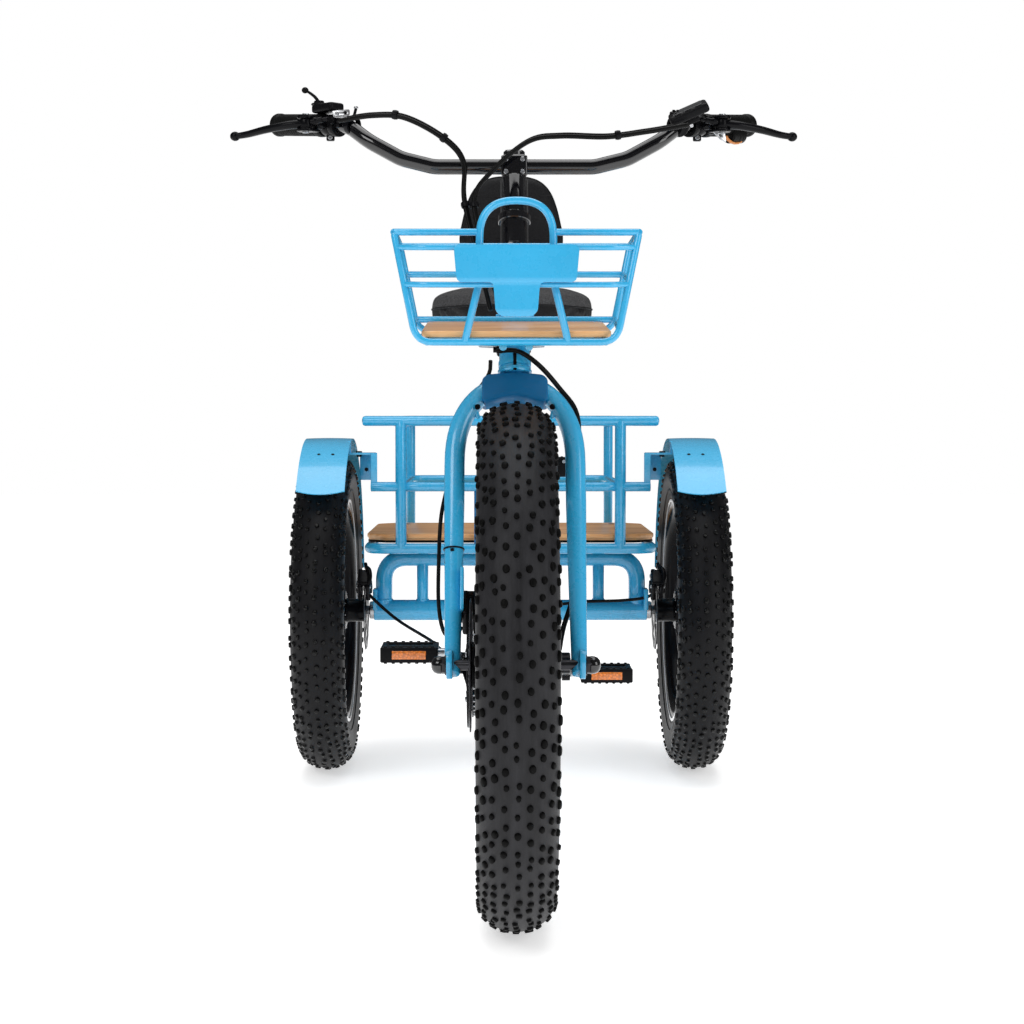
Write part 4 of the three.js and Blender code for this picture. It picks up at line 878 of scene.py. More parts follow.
def build_fork():
    piece = Piece("fork_painted", "steering", PAINT, PAINT_PAINTED_SHADE)
    line = fork_line()
    taper = [14 - 3.6 * max(0, 1 - i / 8) for i in range(len(line))]
    piece.sweep(line, [min(a, b) for a, b in zip(taper, reversed(taper))], 28)
    forward = STEER_TURN.to_3x3() @ v(0, -1, 0)
    crown = [(-43, -16), (-43, 14), (-38, 19), (-20, 21), (0, 22), (20, 21), (38, 19), (43, 14), (43, -16), (30, -13),
             (14, -8), (0, -6), (-14, -8), (-30, -13)]
    # painted shade: the crown and the steerer tube above it take the darker copy of the blue
    piece.use(1).plate([rounded_outline(crown, 3)], 38, facing(on_steer(CROWN_Z), forward), bevel=3)
    piece.rod(on_steer(CROWN_Z + 8), on_steer(742), 16, 32)
    piece.use(0)
    for sign in (1, -1):
        piece.box((6, 13, 22), v(sign * 54, steer_y(684), 684), (0, sign * 0.3, 0), bevel=2)
        drop = [(-15, 14), (-17, 4), (-13, -10), (-8, -17), (8, -17), (13, -10), (17, 4), (15, 14), (9, 19), (-9, 19)]
        place = facing(v(sign * (LEG_X + 4), FRONT_Y, FRONT_Z), ACROSS)
        piece.plate([rounded_outline(drop, 5)], 8, place, bevel=1)
    piece.box((5, 34, 60), v(-72.2, FRONT_Y + 62, FRONT_Z + 92), (-0.4, 0, 0), bevel=1.5)
    piece.rod(on_steer(742), on_steer(1030), 14, 28)
    piece.finish("fork", slot="blue_paint")

    bolts = Piece("fork_bolts", "steering", BLACK)
    for sign in (1, -1):
        at = in_front(sign * 52, 690, 13)
        bolts.rod(at + v(0, 16, 0), at, 3.6, 16)
        bolts.bolt(at, AHEAD, 4.0, 4)
    bolts.finish(slot="black_metal")

    tie = Piece("fork_cable_tie", "steering", PLASTIC)
    middle = leg_point(-1, 495)
    tie.lathe([(12.5, -1.1), (14.5, -1.1), (14.7, 0), (14.5, 1.1), (12.5, 1.1)], middle, STEER, 32)
    tie.box((5, 4, 4), middle + v(-2, -14.5, 1), bevel=0.8)
    tie.finish(slot="black_plastic")

    axle = Piece("front_axle_set", "steering", DARK_STEEL, GLOSS)
    centre = FRONT_HUB
    axle.rod(centre - v(109, 0, 0), centre + v(109, 0, 0), 7, 24)
    for sign in (1, -1):
        axle.use(0).lathe([(7, 91), (12, 91), (13.5, 92), (13.5, 94), (7, 94)], centre, (sign, 0, 0), 32)
        axle.solid([(12.5, 94), (12.5, 100), (7, 101)], centre, (sign, 0, 0), 6)
        cap = [(7.4, 98), (11.6, 98), (12, 100), (11.6, 104), (10, 108), (6.5, 111), (3, 112)]
        axle.use(1).solid(cap, centre, (sign, 0, 0), 32)
    axle.finish("front_axle", slot="steel")


def build_headset_and_stem():
    for name, low, high in (("headset_lower", 735, 743.7), ("headset_upper", 900.3, 909)):
        ring = Piece(name + "_cup", "frame", PAINT if low < 800 else GLOSS)
        height = high - low
        profile = [(14.6, 0), (22, 0), (24, height * 0.25), (24, height * 0.6), (22.6, height * 0.75), (22.6, height),
                   (14.6, height)]
        ring.lathe(profile, on_steer(low), STEER, 48)
        ring.finish(name, slot="black_metal")

    riser = Piece("stem_riser_tube", "steering", GLOSS, STEEL)
    base = on_steer(909.4)
    reach = (1022 - 909.4) / STEER.z
    riser.lathe([(14.6, 0), (21.5, 0), (22.5, 1.5), (22.5, 10), (20, 12), (20, reach - 3), (18.5, reach),
                 (14.6, reach)], base, STEER, 56)
    collar = (955 - 909.4) / STEER.z
    riser.lathe([(19, collar), (22.4, collar), (23.4, collar + 1.2), (23.4, collar + 10.8), (22.4, collar + 12),
                 (19, collar + 12)], base, STEER, 56)
    tab = base + STEER * (collar + 6)
    for sign in (1, -1):
        riser.box((5, 12, 12), tab + v(sign * 4.5, 25, -8), turn=STEER_TURN, bevel=1.2)
    riser.use(1).rod(tab + v(-10, 26, -8), tab + v(10, 26, -8), 2.6, 12)
    riser.finish("stem_riser", slot="black_metal")

    clamp = Piece("stem_clamp_block", "steering", GLOSS, STEEL)
    clamp.box((36, 40, 34), BAR_MID, bevel=7, segments=4)
    clamp.box((38, 9, 30), BAR_MID + v(0, -16.5, 0), bevel=3)
    clamp.solid([(0.5, 0), (15, 0), (15.6, 2), (15.6, 8), (13, 10.5), (0.5, 10.5)], v(0, BAR_MID.y + 4, 1054), UP, 40)
    for x in (-12, 12):
        for z in (-9, 9):
            clamp.use(1).bolt(BAR_MID + v(x, -21, z), AHEAD, 3.4, 2.6)
    clamp.bolt(v(0, BAR_MID.y + 4, 1064), UP, 4, 2.5)
    clamp.finish("stem_clamp", slot="black_metal")


# ---------------------------------------------------------------- handlebar and its controls
BAR_MID = on_steer(BAR_Z)
BAR_BENDS = ((117, 0, 0), (165, 2, 12), (212, 8, 38), (244, 28, 64), (356, 142, 80))


def bar_line(sign):
    return [BAR_MID + v(sign * x, y, z) for x, y, z in BAR_BENDS]


def bar_tip(sign):
    return bar_line(sign)[-1]


def inward(sign):
    line = bar_line(sign)
    return (line[3] - line[4]).normalized()


def bar_at(sign, distance):
    return bar_tip(sign) + inward(sign) * distance


def build_handlebar():
    bar = Piece("handlebar_tube", "steering", GLOSS, ALLOY)
    line = list(reversed(bar_line(-1))) + bar_line(1)
    bar.tube(line, 11, bend=60, sides=28, cuts=10)
    for sign in (1, -1):
        for x in (22, 30):
            bar.lathe([(11.0, -0.3), (11.25, -0.3), (11.25, 0.3), (11.0, 0.3)], BAR_MID + v(sign * x, 0, 0), ACROSS,
                      32)
    bar.finish("handlebar", slot="black_metal")

    for name, sign in SIDES:
        axis = inward(sign)
        tip = bar_tip(sign)
        grip = Piece("grip_" + name + "_ribbed", "steering", RUBBER, AMBER_BAND, BLACK)
        profile = [(11.2, -4), (16.8, -4), (17.4, -2), (17.4, 4), (16.2, 6)]
        for i in range(16):
            x = 8 + i * 5.2
            profile += [(15.6, x), (16.4, x + 0.9), (16.4, x + 3.2), (15.6, x + 4.1)]
        profile += [(15.4, 93), (17.2, 95), (17.6, 98), (17.6, 104), (16.4, 107.4), (11.2, 107.4)]
        grip.lathe(profile, tip, axis, 40)
        palm = axis.cross(v(0, 0, 1)).normalized() * (-sign)
        if palm.y < 0:
            palm = -palm
        start, end = tip + axis * 2 + palm * 9, tip + axis * 84 + palm * 8
        grip.sweep([start, start.lerp(end, 0.25) + palm * 6, start.lerp(end, 0.6) + palm * 3, end], [13, 17, 14, 8],
                   24, flat=0.45)
        grip.use(2).solid([(0.6, -6.4), (12, -6.4), (15, -5.4), (15.5, -4), (0.6, -4)], tip, axis, 32)
        if sign > 0:
            low = v(0, -4, -15)
            grip.use(0).solid([(0.6, 14), (10, 14), (12.5, 16), (12.5, 22), (11.6, 23), (12.5, 24), (12.5, 30),
                               (11.6, 31), (12.5, 32), (12.5, 44), (10, 46), (0.6, 46)], tip + low, axis, 32)
            middle = tip + axis * 32 + low + v(0, -6, 4)
            arc = [middle + v(17 * math.sin(a), 17 * math.sin(a), -17 * math.cos(a))
                   for a in (-1.1, -0.7, -0.35, 0, 0.35, 0.7, 1.1)]
            grip.use(1).sweep(arc, 2.8, 16, flat=0.7, round_end=0.8)
        grip.finish("grip_" + name, slot="rubber")
        build_brake(name, sign, axis)


def build_brake(name, sign, axis):
    pivot = BAR_MID + v(sign * 306, 25, 66)
    tip = BAR_MID + v(sign * 414, 60, 52)
    body = Piece("brake_bracket_" + name + "_cast", "steering", PLASTIC, STEEL, BLACK)
    body.use(2).bush(11.2, 16, 0, 16, (0.8, 1.4), bar_at(sign, 112), axis, 40)
    mid = bar_at(sign, 120)
    horn = pivot - mid
    body.sweep([mid + horn * 0.2, mid + horn * 0.45, mid + horn * 0.7], [9.8, 9.4, 9.8], 20, flat=0.8)
    for z in (9.6, -9.6):
        body.solid([(0.8, -2.2), (12, -2.2), (13, -1), (13, 1), (12, 2.2), (0.8, 2.2)], pivot + v(0, 0, z), UP, 32)
        body.box((16, 22, 4), pivot - horn.normalized() * 9 + v(0, 0, z), (0, 0, math.atan2(-horn.x, horn.y)),
                 bevel=1.5)
    body.use(1).bolt(pivot + v(0, 0, 11.8), UP, 5, 3)
    body.bolt(pivot - v(0, 0, 11.8), (0, 0, -1), 5, 2)
    # barrel adjuster that takes the cable housing
    out = v(-sign, -0.25, 0.15).normalized()
    start = pivot + v(-sign * 8, -4, 2)
    body.use(2)
    body.lathe([(3, 0), (5.2, 0), (5.6, 2), (5.2, 4), (5.6, 6), (5.2, 8), (4.4, 10), (4.4, 18), (3, 18)], start, out,
               24)
    body.rod(start, start + out * 26, 2.6, 14)
    # clamp bolt under the ring
    body.use(2).box((12, 10, 12), bar_at(sign, 120) + v(0, 2, -17), bevel=2.5)
    body.use(1).bolt(bar_at(sign, 120) + v(0, -3, -18), AHEAD, 3.6, 3)
    body.finish("brake_bracket_" + name, slot="black_plastic")

    lever = Piece("brake_lever_" + name + "_blade", "%s_brake_lever" % name, BLACK)
    way = tip - pivot
    bow = v(0, -1, 0.15)
    path = spline([pivot + way * 0.02, pivot + way * 0.22 + bow * 7, pivot + way * 0.55 + bow * 6,
                   pivot + way * 0.82 - bow * 1, tip], 24)
    radii = [8.4 - 2.6 * i / 24 for i in range(25)]
    lever.sweep(path, radii, 20, flat=0.8)
    lever.bush(2.6, 9, -6.6, 6.6, (0.6, 1), pivot, UP, 32)
    lever.ball(7.6, tip, (1, 0.92, 0.92), 28)
    lever.finish("brake_lever_" + name, slot="black_metal")


def build_left_controls():
    """The rider's left: the display on its ring, with a small button box beside it."""
    display = Piece("display_unit", "steering", PLASTIC, GLASS, ALLOY)
    turn = Matrix.Rotation(0.3, 4, "X") @ Matrix.Rotation(-0.42, 4, "Y")
    middle = bar_at(1, 146) + v(1, -32, 14)
    axis = inward(1)

    def at(x, y, z):
        return middle + turn.to_3x3() @ v(x, y, z)

    display.box((60, 40, 14), middle, turn=turn, bevel=6, segments=5)
    display.use(1).box((46, 28, 1.6), at(0, 1, 6.9), turn=turn, bevel=0.7)
    display.use(0)
    for x in (-20, 0, 20):
        display.box((10, 3, 2), at(x * 0.8, -16, 6.8), turn=turn, bevel=0.8)
    display.box((24, 26, 10), at(0, 0, -10), turn=turn, bevel=3, taper=0.9)
    foot = bar_at(1, 136)
    display.sweep([foot + v(0, 0, 8), foot.lerp(middle, 0.5) + v(0, 0, 2), at(0, 0, -8)], [9, 8, 10], 20, flat=0.7)
    display.bush(11.2, 17, 0, 11.5, (0.6, 1), bar_at(1, 130.5), axis, 40)
    display.use(2).bolt(foot + v(0, -17, -2), (0, -1, -0.2), 3, 2.4)
    display.finish("display", slot="black_plastic")

    switch = Piece("button_switch", "steering", PLASTIC, ALLOY, RUBBER)
    place = bar_at(1, 165)
    switch.lathe([(11.2, -8), (15, -8), (16, -6)] + [(16 + (0.8 if i % 2 else 0), -5 + i * 1.1) for i in range(10)]
                 + [(16, 7), (15, 8), (11.2, 8)], place, axis, 40)
    switch.box((18, 16, 9), place + v(-2, -8, 15), (0.3, -0.2, 0.5), bevel=3)
    for x in (-5, 1, 7):
        switch.use(2).bolt(place + v(x - 2, -10, 19.5), (0.1, -0.3, 1), 2.4, 2, socket=False).use(0)
    switch.finish(slot="black_plastic")

    bracket = Piece("lever_cover_left", "steering", ALLOY, BLACK)
    plane = facing(bar_at(1, 84) + v(4, -46, -20), v(0.25, -1, 0.05))
    outline = rounded_outline([(-12, 8), (9, 11), (12, -10), (3, -6)], 2.5)
    bracket.plate([outline, ring_points(2.4, 16, (3, 0))], 2.2, plane, bevel=0.5)
    bracket.use(1).rod(plane @ v(0, 4, -1), bar_at(1, 96) + v(0, -12, -12), 3.2, 12)
    bracket.finish(slot="alloy")


def build_right_controls():
    """The rider's right: the shifter on its ring, the shift lever and a bell."""
    at = bar_at(-1, 114) + v(0, 0, 25)
    axis = inward(-1)
    along_bar = (0, 0, math.atan2(axis.y, axis.x))
    shifter = Piece("shifter_housing", "steering", PLASTIC, ALLOY, BLACK)
    shifter.box((46, 27, 13), at, along_bar, bevel=5, segments=4)
    hub = at + v(-14, 14.2, 6.5)
    shifter.solid([(0.8, 0), (11.5, 0), (12, 1), (11, 2.6), (0.8, 3.2)], hub, UP, 40)
    shifter.bush(11.2, 17, 0, 11.5, (0.6, 1), bar_at(-1, 130.5), axis, 40)
    post = bar_at(-1, 137)
    shifter.sweep([post + v(0, 0, 9), post + v(0, 0, 17), post + v(0, 0, 26)], [8, 8, 9], 20, flat=0.8)
    shifter.use(1)
    outline = rounded_outline([(-13, 4), (12, 6), (12, -2), (4, -6), (-11, -5)], 2.5)
    plane = facing(bar_at(-1, 146) + v(1, -20, 14), v(-0.1, -1, 0.1))
    shifter.plate([outline, ring_points(2, 16, (6, 1))], 2.4, plane, bevel=0.5)
    shifter.bolt(plane @ v(-6, 0, 1), (0, -1, 0.1), 3, 2)
    shifter.use(2).rod(plane @ v(6, 1, 3), plane @ v(6, 1, -14), 2.4, 12)
    shifter.rod(plane @ v(-6, 0, 0), plane @ v(-6, 0, -12), 3, 12)
    for x, z in ((-14, -4), (-6, -9), (3, -7)):
        shifter.rod(plane @ v(x, z, -4), plane @ v(x + 1, z - 7, -4), 2.6, 10)
        shifter.solid([(0.6, 0), (4, 0), (4.2, 3), (0.6, 4)], plane @ v(x + 1, z - 7, -4), (0, 0, -1), 6)
    shifter.finish("shifter_body", slot="black_plastic")

    foot = at + v(-14, 14.2, 10.4)
    lever = Piece("shift_lever_arm", "shifter_lever", BLACK, RUBBER)
    lever.sweep(spline([foot, foot + v(-6, -2, 8), foot + v(-14, -5, 14), foot + v(-20, -8, 17)], 14),
                [3.6 - 0.07 * i for i in range(15)], 16, flat=0.7)
    lever.solid([(0.6, -1), (7.5, -1), (8, 0.5), (7, 2.4), (0.6, 3)], foot, UP, 28)
    lever.use(1).ball(5.2, foot + v(-20, -8, 17), (1, 0.9, 0.9), 20)
    lever.finish("shift_lever", slot="black_plastic")

    bell = Piece("bell_and_pin", "steering", BLACK, STEEL)
    place = bar_at(-1, 170)
    bell.lathe([(11.2, -4), (14, -4), (14.6, 0), (14, 4), (11.2, 4)], place, axis, 36)
    top = place + v(4, -3, 14)
    bell.rod(place + v(2, -1, 10), top + v(2, -2, 10), 2.2, 12)
    bell.use(1).solid([(0.5, 0), (3.2, 0), (3.4, 1), (2.6, 2.6), (0.5, 3)], top + v(2, -2, 10), (0, -0.1, 1), 20)
    bell.finish(slot="black_metal")


def from_bar(*points):
    return [BAR_MID + v(*point) for point in points]


RIGHT_CABLE = from_bar((-255, -4, 66), (-205, -26, 70), (-158, -40, 65), (-104, -46, 36), (-74, -44, 2)) + [
    in_front(-72, 985, 30), in_front(-52, 900, 30), in_front(-34, 826, 34)]
LEFT_CABLE = from_bar((252, -24, 58), (221, -28, 52), (187, -32, 46), (132, -40, 38), (66, -48, 38), (20, -52, 30),
                      (-30, -52, -10)) + [in_front(-58, 985, 40), in_front(-40, 900, 38), in_front(-20, 826, 38)]
MOTOR_CABLE = [in_front(-26, 768, 30), in_front(4, 768, 32), in_front(34, 748, 24), in_front(63, 716, -3),
               in_front(86, 684, -14), in_front(90, 640, -26), in_front(84, 560, -26), in_front(82, 450, -14),
               v(64, -592, 392), v(58, -618, 366)]


def build_cables():
    clips = Piece("cable_clips", "steering", PLASTIC)
    for name, route, clip_places in (("right", RIGHT_CABLE, (18, 34, 56)), ("left", LEFT_CABLE, (18, 62))):
        cable = Piece("cable_%s_housing" % name, "steering", CABLE)
        path = spline(route, 90)
        cable.sweep(path, 3.4, 16, round_end=0.1)
        cable.sweep([p + v(1.5, 2.5, 3.6) for p in path[4:-6]], 2.3, 12, round_end=0.1)
        cable.finish("cable_" + name, slot="rubber")
        for i in clip_places:
            clips.lathe([(3.3, -3.6), (6.4, -3.6), (7, 0), (6.4, 3.6), (3.3, 3.6)], path[i] + v(0.7, 1.2, 1.8),
                        path[i + 1] - path[i - 1], 24)
    clips.finish(slot="black_plastic")
    motor = Piece("motor_cable_housing", "steering", CABLE)
    motor.sweep(spline(MOTOR_CABLE, 80), 3.5, 16)
    motor.finish("motor_cable", slot="rubber")


# ---------------------------------------------------------------- frame
def seat_line(z):
    return v(0, CRANK_Y + (z - CRANK_Z) / math.tan(math.radians(72)), z)


def yz(*pairs):
    return [v(0, y, z) for y, z in pairs]


def build_main_frame():
    frame_piece = Piece("frame_tubes", "frame", PAINT, BLACK)
    reach = (900 - 744) / STEER.z
    frame_piece.lathe([(16, 0), (21, 0), (23, 1.5), (23, 9), (21.6, 12), (21.6, reach - 12), (23, reach - 9),
                       (23, reach - 1.5), (21, reach), (16, reach)], on_steer(744), STEER, 56)
    down = [on_steer(815)] + yz((-352, 730), (-292, 560), (-240, 360), (-120, 284), (-10, 275))
    frame_piece.tube(down, 22, bend=120, sides=32, cuts=14)
    upper = [on_steer(870) + v(0, 0, 2)] + yz((-300, 790), (-232, 600), (-130, 440)) + [seat_line(396)]
    frame_piece.tube(upper, 14, bend=110, sides=24, cuts=12)
    frame_piece.rod(seat_line(275), seat_line(660), 19, 32)
    frame_piece.bush(16, 24.5, -36, 36, (1.5, 2), CRANK_AXLE, ACROSS, 56)
    frame_piece.tube(yz((-10, 275), (300, 300), (548, 330), (552, 411)), 20, bend=60, sides=28, cuts=10)
    frame_piece.tube([seat_line(600)] + yz((380, 560), (516, 450), (518, 396)), 13, bend=70, sides=24, cuts=10)
    for sign in (1, -1):
        frame_piece.tube([v(sign * 16, steer_y(805), 803), v(sign * 17, -490, 783.4), v(sign * 17, -668, 767)], 5,
                         bend=30, sides=14)
        frame_piece.box((5, 46, 40), v(sign * 20, steer_y(800) - 14, 800), (0, 0, sign * 0.2), bevel=1.5)
    weld(frame_piece, on_steer(815) + v(0, 20, -12), v(0, 0.9, -0.75), 22)
    weld(frame_piece, seat_line(298), seat_line(660) - seat_line(275), 19.5)
    weld(frame_piece, seat_line(409), v(0, 1, -0.3), 14)
    frame_piece.use(1).box((5, 4, 26), in_front(0, 754, 23), turn=STEER_TURN, bevel=1.5)
    frame_piece.finish("main_frame", slot="blue_paint")


def build_subframe():
    sub = Piece("rear_subframe_tubes", "frame", PAINT, PAINT_PAINTED_SHADE, BLACK)
    for low, high in ((-262, CHAIN_X - 28), (CHAIN_X + 28, 262)):
        sub.bush(17.4, 20, low, high, (1, 1.2), REAR_AXLE, ACROSS, 48)
    hoop = [v(-HOOP_HALF, REAR_Y, REAR_Z), v(-HOOP_HALF, REAR_Y, 404), v(HOOP_HALF, REAR_Y, 404),
            v(HOOP_HALF, REAR_Y, REAR_Z)]
    sub.tube(hoop, 16, bend=46, sides=28, cuts=12)
    for sign in (1, -1):
        sub.rod(v(sign * STRUT_HALF, REAR_Y, REAR_Z + 8), v(sign * STRUT_HALF, REAR_Y, 398), 11, 24)
        weld(sub, v(sign * STRUT_HALF, REAR_Y, REAR_Z + 20), v(0, 0, 1), 11)
        weld(sub, v(sign * HOOP_HALF, REAR_Y, REAR_Z + 20), v(0, 0, 1), 16)
        sub.box((8, 40, 40), v(sign * 258, REAR_Y - 30, REAR_Z + 24), bevel=2)
    sub.box((70, 100, 22), v(0, 564, 404), bevel=4)
    sub.use(2)
    for x in (-22, 22):
        for y in (535, 590):
            sub.bolt(v(x, y, 415), UP, 5, 4, socket=False)
            sub.bolt(v(x, y, 393), (0, 0, -1), 5, 4, socket=False)
    sub.finish("rear_subframe", slot="blue_paint")
    for name, sign in SIDES:
        bearing = Piece("axle_bearing_%s_unit" % name, "frame", STEEL, BLACK)
        bearing.lathe([(8.9, 248), (17, 248), (17, 269), (16, 270), (8.9, 270)], REAR_AXLE, (sign, 0, 0), 40)
        bearing.use(1).lathe([(10, 269.6), (15, 269.6), (15, 270.8), (10, 270.8)], REAR_AXLE, (sign, 0, 0), 40)
        bearing.finish("axle_bearing_" + name, slot="steel")
    shaft = Piece("axle_shaft_bar", "rear_wheel_right", STEEL, GLOSS)
    shaft.rod(v(-394, REAR_Y, REAR_Z), v(394, REAR_Y, REAR_Z), 8.5, 28)
    for sign in (1, -1):
        cap = [(8.6, 388.6), (13.4, 388.6), (13.8, 391), (13, 395), (10, 398.4), (4, 399)]
        shaft.use(1).solid(cap, REAR_AXLE, (sign, 0, 0), 32)
    shaft.finish("axle_shaft", slot="steel")


# ---------------------------------------------------------------- cargo rack, deck and fenders
def loop_rail(piece, half, z, radius, bend=34, front=RACK_FRONT, rear=RACK_REAR):
    corners = [v(-half, front, z), v(half, front, z), v(half, rear, z), v(-half, rear, z)]
    start = v(0, front, z)
    line = rounded([start, corners[1], corners[2], corners[3], corners[0], start], bend, 8)
    piece.sweep(line, radius, 20, round_end=0.0)


def build_rack():
    rack = Piece("cargo_rack_tubes", "frame", PAINT, BLACK, PAINT_PAINTED_SHADE)
    loop_rail(rack, 268, RACK_LOW + 2, 10)
    loop_rail(rack, RACK_HALF, RACK_TOP, 9.5, bend=40)
    rack.tube([v(-280, RACK_FRONT, RACK_TOP), v(280, RACK_FRONT, RACK_TOP)], 9.5, sides=24, round_end=0.6)
    loop_rail(rack, RACK_HALF, RACK_MID, 9)
    for sign in (1, -1):
        rack.rod(v(sign * RACK_HALF, RACK_FRONT, RACK_MID), v(sign * 264, RACK_FRONT, RACK_MID), 9, 20)
        for y, post_r in ((RACK_FRONT, 10.5), (RACK_REAR, 9.5)):
            rack.rod(v(sign * RACK_HALF, y, RACK_LOW), v(sign * RACK_HALF, y, RACK_TOP), post_r, 24)
            for z in (RACK_LOW + 14, RACK_TOP - 11):
                weld(rack, v(sign * RACK_HALF, y, z), v(0, 0, 1), 9.6, 1.8)
        # painted shade: the front brackets under the deck take the darker copy of the blue
        rack.use(2).box((14, 8, 130), v(sign * 62, RACK_FRONT, 486), bevel=1.5)
        rack.use(1).bolt(v(sign * 62, RACK_FRONT - 4, 470), AHEAD, 6, 4, socket=False)
        rack.bolt(v(sign * 62, RACK_FRONT - 4, 446), AHEAD, 6, 4, socket=False).use(0)
    rack.finish("cargo_rack", slot="blue_paint")

    def cut(half_x, half_y, corner):
        return [(-half_x + corner, -half_y), (half_x - corner, -half_y), (half_x, -half_y + corner),
                (half_x, half_y - corner), (half_x - corner, half_y), (-half_x + corner, half_y),
                (-half_x, half_y - corner), (-half_x, -half_y + corner)]

    centre_y = (RACK_FRONT + RACK_REAR) / 2
    low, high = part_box("cargo_deck")
    half_x, half_y = (high.x - low.x) / MM / 2, (high.y - low.y) / MM / 2
    deck = Piece("cargo_deck_board", "frame", WOOD, EDGE_WOOD)
    outline = rounded_outline(cut(half_x, half_y, 34), 12)
    deck.plate([outline], 8.6, Matrix.Translation(v(0, centre_y, 448.3)), bevel=2.2)
    deck.use(1).plate([rounded_outline(cut(half_x - 0.4, half_y - 0.4, 34), 12)], 5,
                      Matrix.Translation(v(0, centre_y, 443.4)), bevel=0.4)
    deck.finish("cargo_deck", slot="wood")
    tray = Piece("cargo_tray_sheet", "frame", BLACK, STEEL)
    low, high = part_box("cargo_tray")
    half_x, half_y = (high.x - low.x) / MM / 2, (high.y - low.y) / MM / 2
    holes = [rounded_outline([(x - 30, y - 12), (x + 30, y - 12), (x + 30, y + 12), (x - 30, y + 12)], 6)
             for x in (-180, -60, 60, 180) for y in (-120, -40, 40, 120)]
    tray.plate([rounded_outline(cut(half_x, half_y, 34), 12)] + holes, 4, Matrix.Translation(v(0, centre_y, 438.3)),
               bevel=0.5)
    tray.use(1)
    for x in (-210, 210):
        for y in (-150, 150):
            tray.bolt(v(x, centre_y + y, 452.6), UP, 6, 1.6)
    tray.finish("cargo_tray", slot="black_metal")


FENDER_R = REAR_R + 23.5
FENDER_X = 346
FENDER_HALF = 44
FENDER_START, FENDER_END = 0.18, 2.336
SHELF_Z = 605


def fender_section():
    """Half-width and radius pairs round the sheet, whose edges curl in a little."""
    outside = [(FENDER_HALF * k / 6, FENDER_R + 2.5 - (k / 6) ** 2) for k in range(-6, 7)]
    inside = [(FENDER_HALF * k / 6 * 0.96, FENDER_R + 0.4 - (k / 6) ** 2) for k in range(6, -7, -1)]
    return outside + [(FENDER_HALF + 0.4, FENDER_R - 1.2)] + inside + [(-FENDER_HALF - 0.4, FENDER_R - 1.2)]


def build_fenders():
    for name, sign in SIDES:
        fender = Piece("rear_fender_%s_sheet" % name, "frame", FENDER_PAINT_PAINTED_LIGHT, BLACK, PAINT)
        rings = []
        steps = 64
        for i in range(steps + 1):
            ring = []
            for x, radius in fender_section():
                # both ends are cut on a shallow arc
                reach = 0.028 * (1 - (x / FENDER_HALF) ** 2)
                turn = FENDER_START - reach + (FENDER_END - FENDER_START + 2 * reach) * i / steps
                ring.append(v(sign * FENDER_X + x, REAR_Y + radius * math.cos(turn),
                              REAR_Z + radius * math.sin(turn)))
            rings.append(ring)
        # painted light: the fender sheet takes the lighter copy of the blue
        fender.loft(rings)
        fender.box((4, 34, 26), v(sign * 304, RACK_FRONT + 24, 616), bevel=1)
        fender.box((50, 40, 4), v(sign * 281, RACK_FRONT + 20, SHELF_Z), bevel=1)
        fender.box((12, 6, 60), v(sign * 258, RACK_FRONT + 1, SHELF_Z - 28), bevel=1)
        fender.use(2).box((25, 4, 50), v(sign * 273.5, RACK_FRONT + 26, SHELF_Z - 25), bevel=1)
        fender.use(1)
        fender.bolt(v(sign * 287, RACK_FRONT + 18, SHELF_Z - 2), (0, 0, -1), 5, 4, socket=False)
        fender.bolt(v(sign * 287, RACK_FRONT + 12, SHELF_Z + 2), UP, 6, 3)
        fender.bolt(v(sign * 273.5, RACK_FRONT + 24, SHELF_Z - 30), AHEAD, 4, 2.5, socket=False)
        for x in (-16, 10):
            turn = 1.992
            out = v(0, math.cos(turn), math.sin(turn))
            fender.bolt(v(sign * (FENDER_X + x), REAR_Y, REAR_Z) + out * (FENDER_R + 2.2), out, 3.2, 1.2,
                        socket=False)
        fender.finish("rear_fender_" + name, slot="blue_paint")


# ---------------------------------------------------------------- basket
def tilt(x, forward, up):
    return v(x, BASKET_FRONT + forward, up + forward * BASKET_SLOPE)


TOP_HALF, BOTTOM_HALF, BACK_WIDER = 156, 128, 8


def basket_half(z):
    return BOTTOM_HALF + (TOP_HALF - BOTTOM_HALF) * (z - BASKET_FLOOR) / (BASKET_TOP - BASKET_FLOOR)


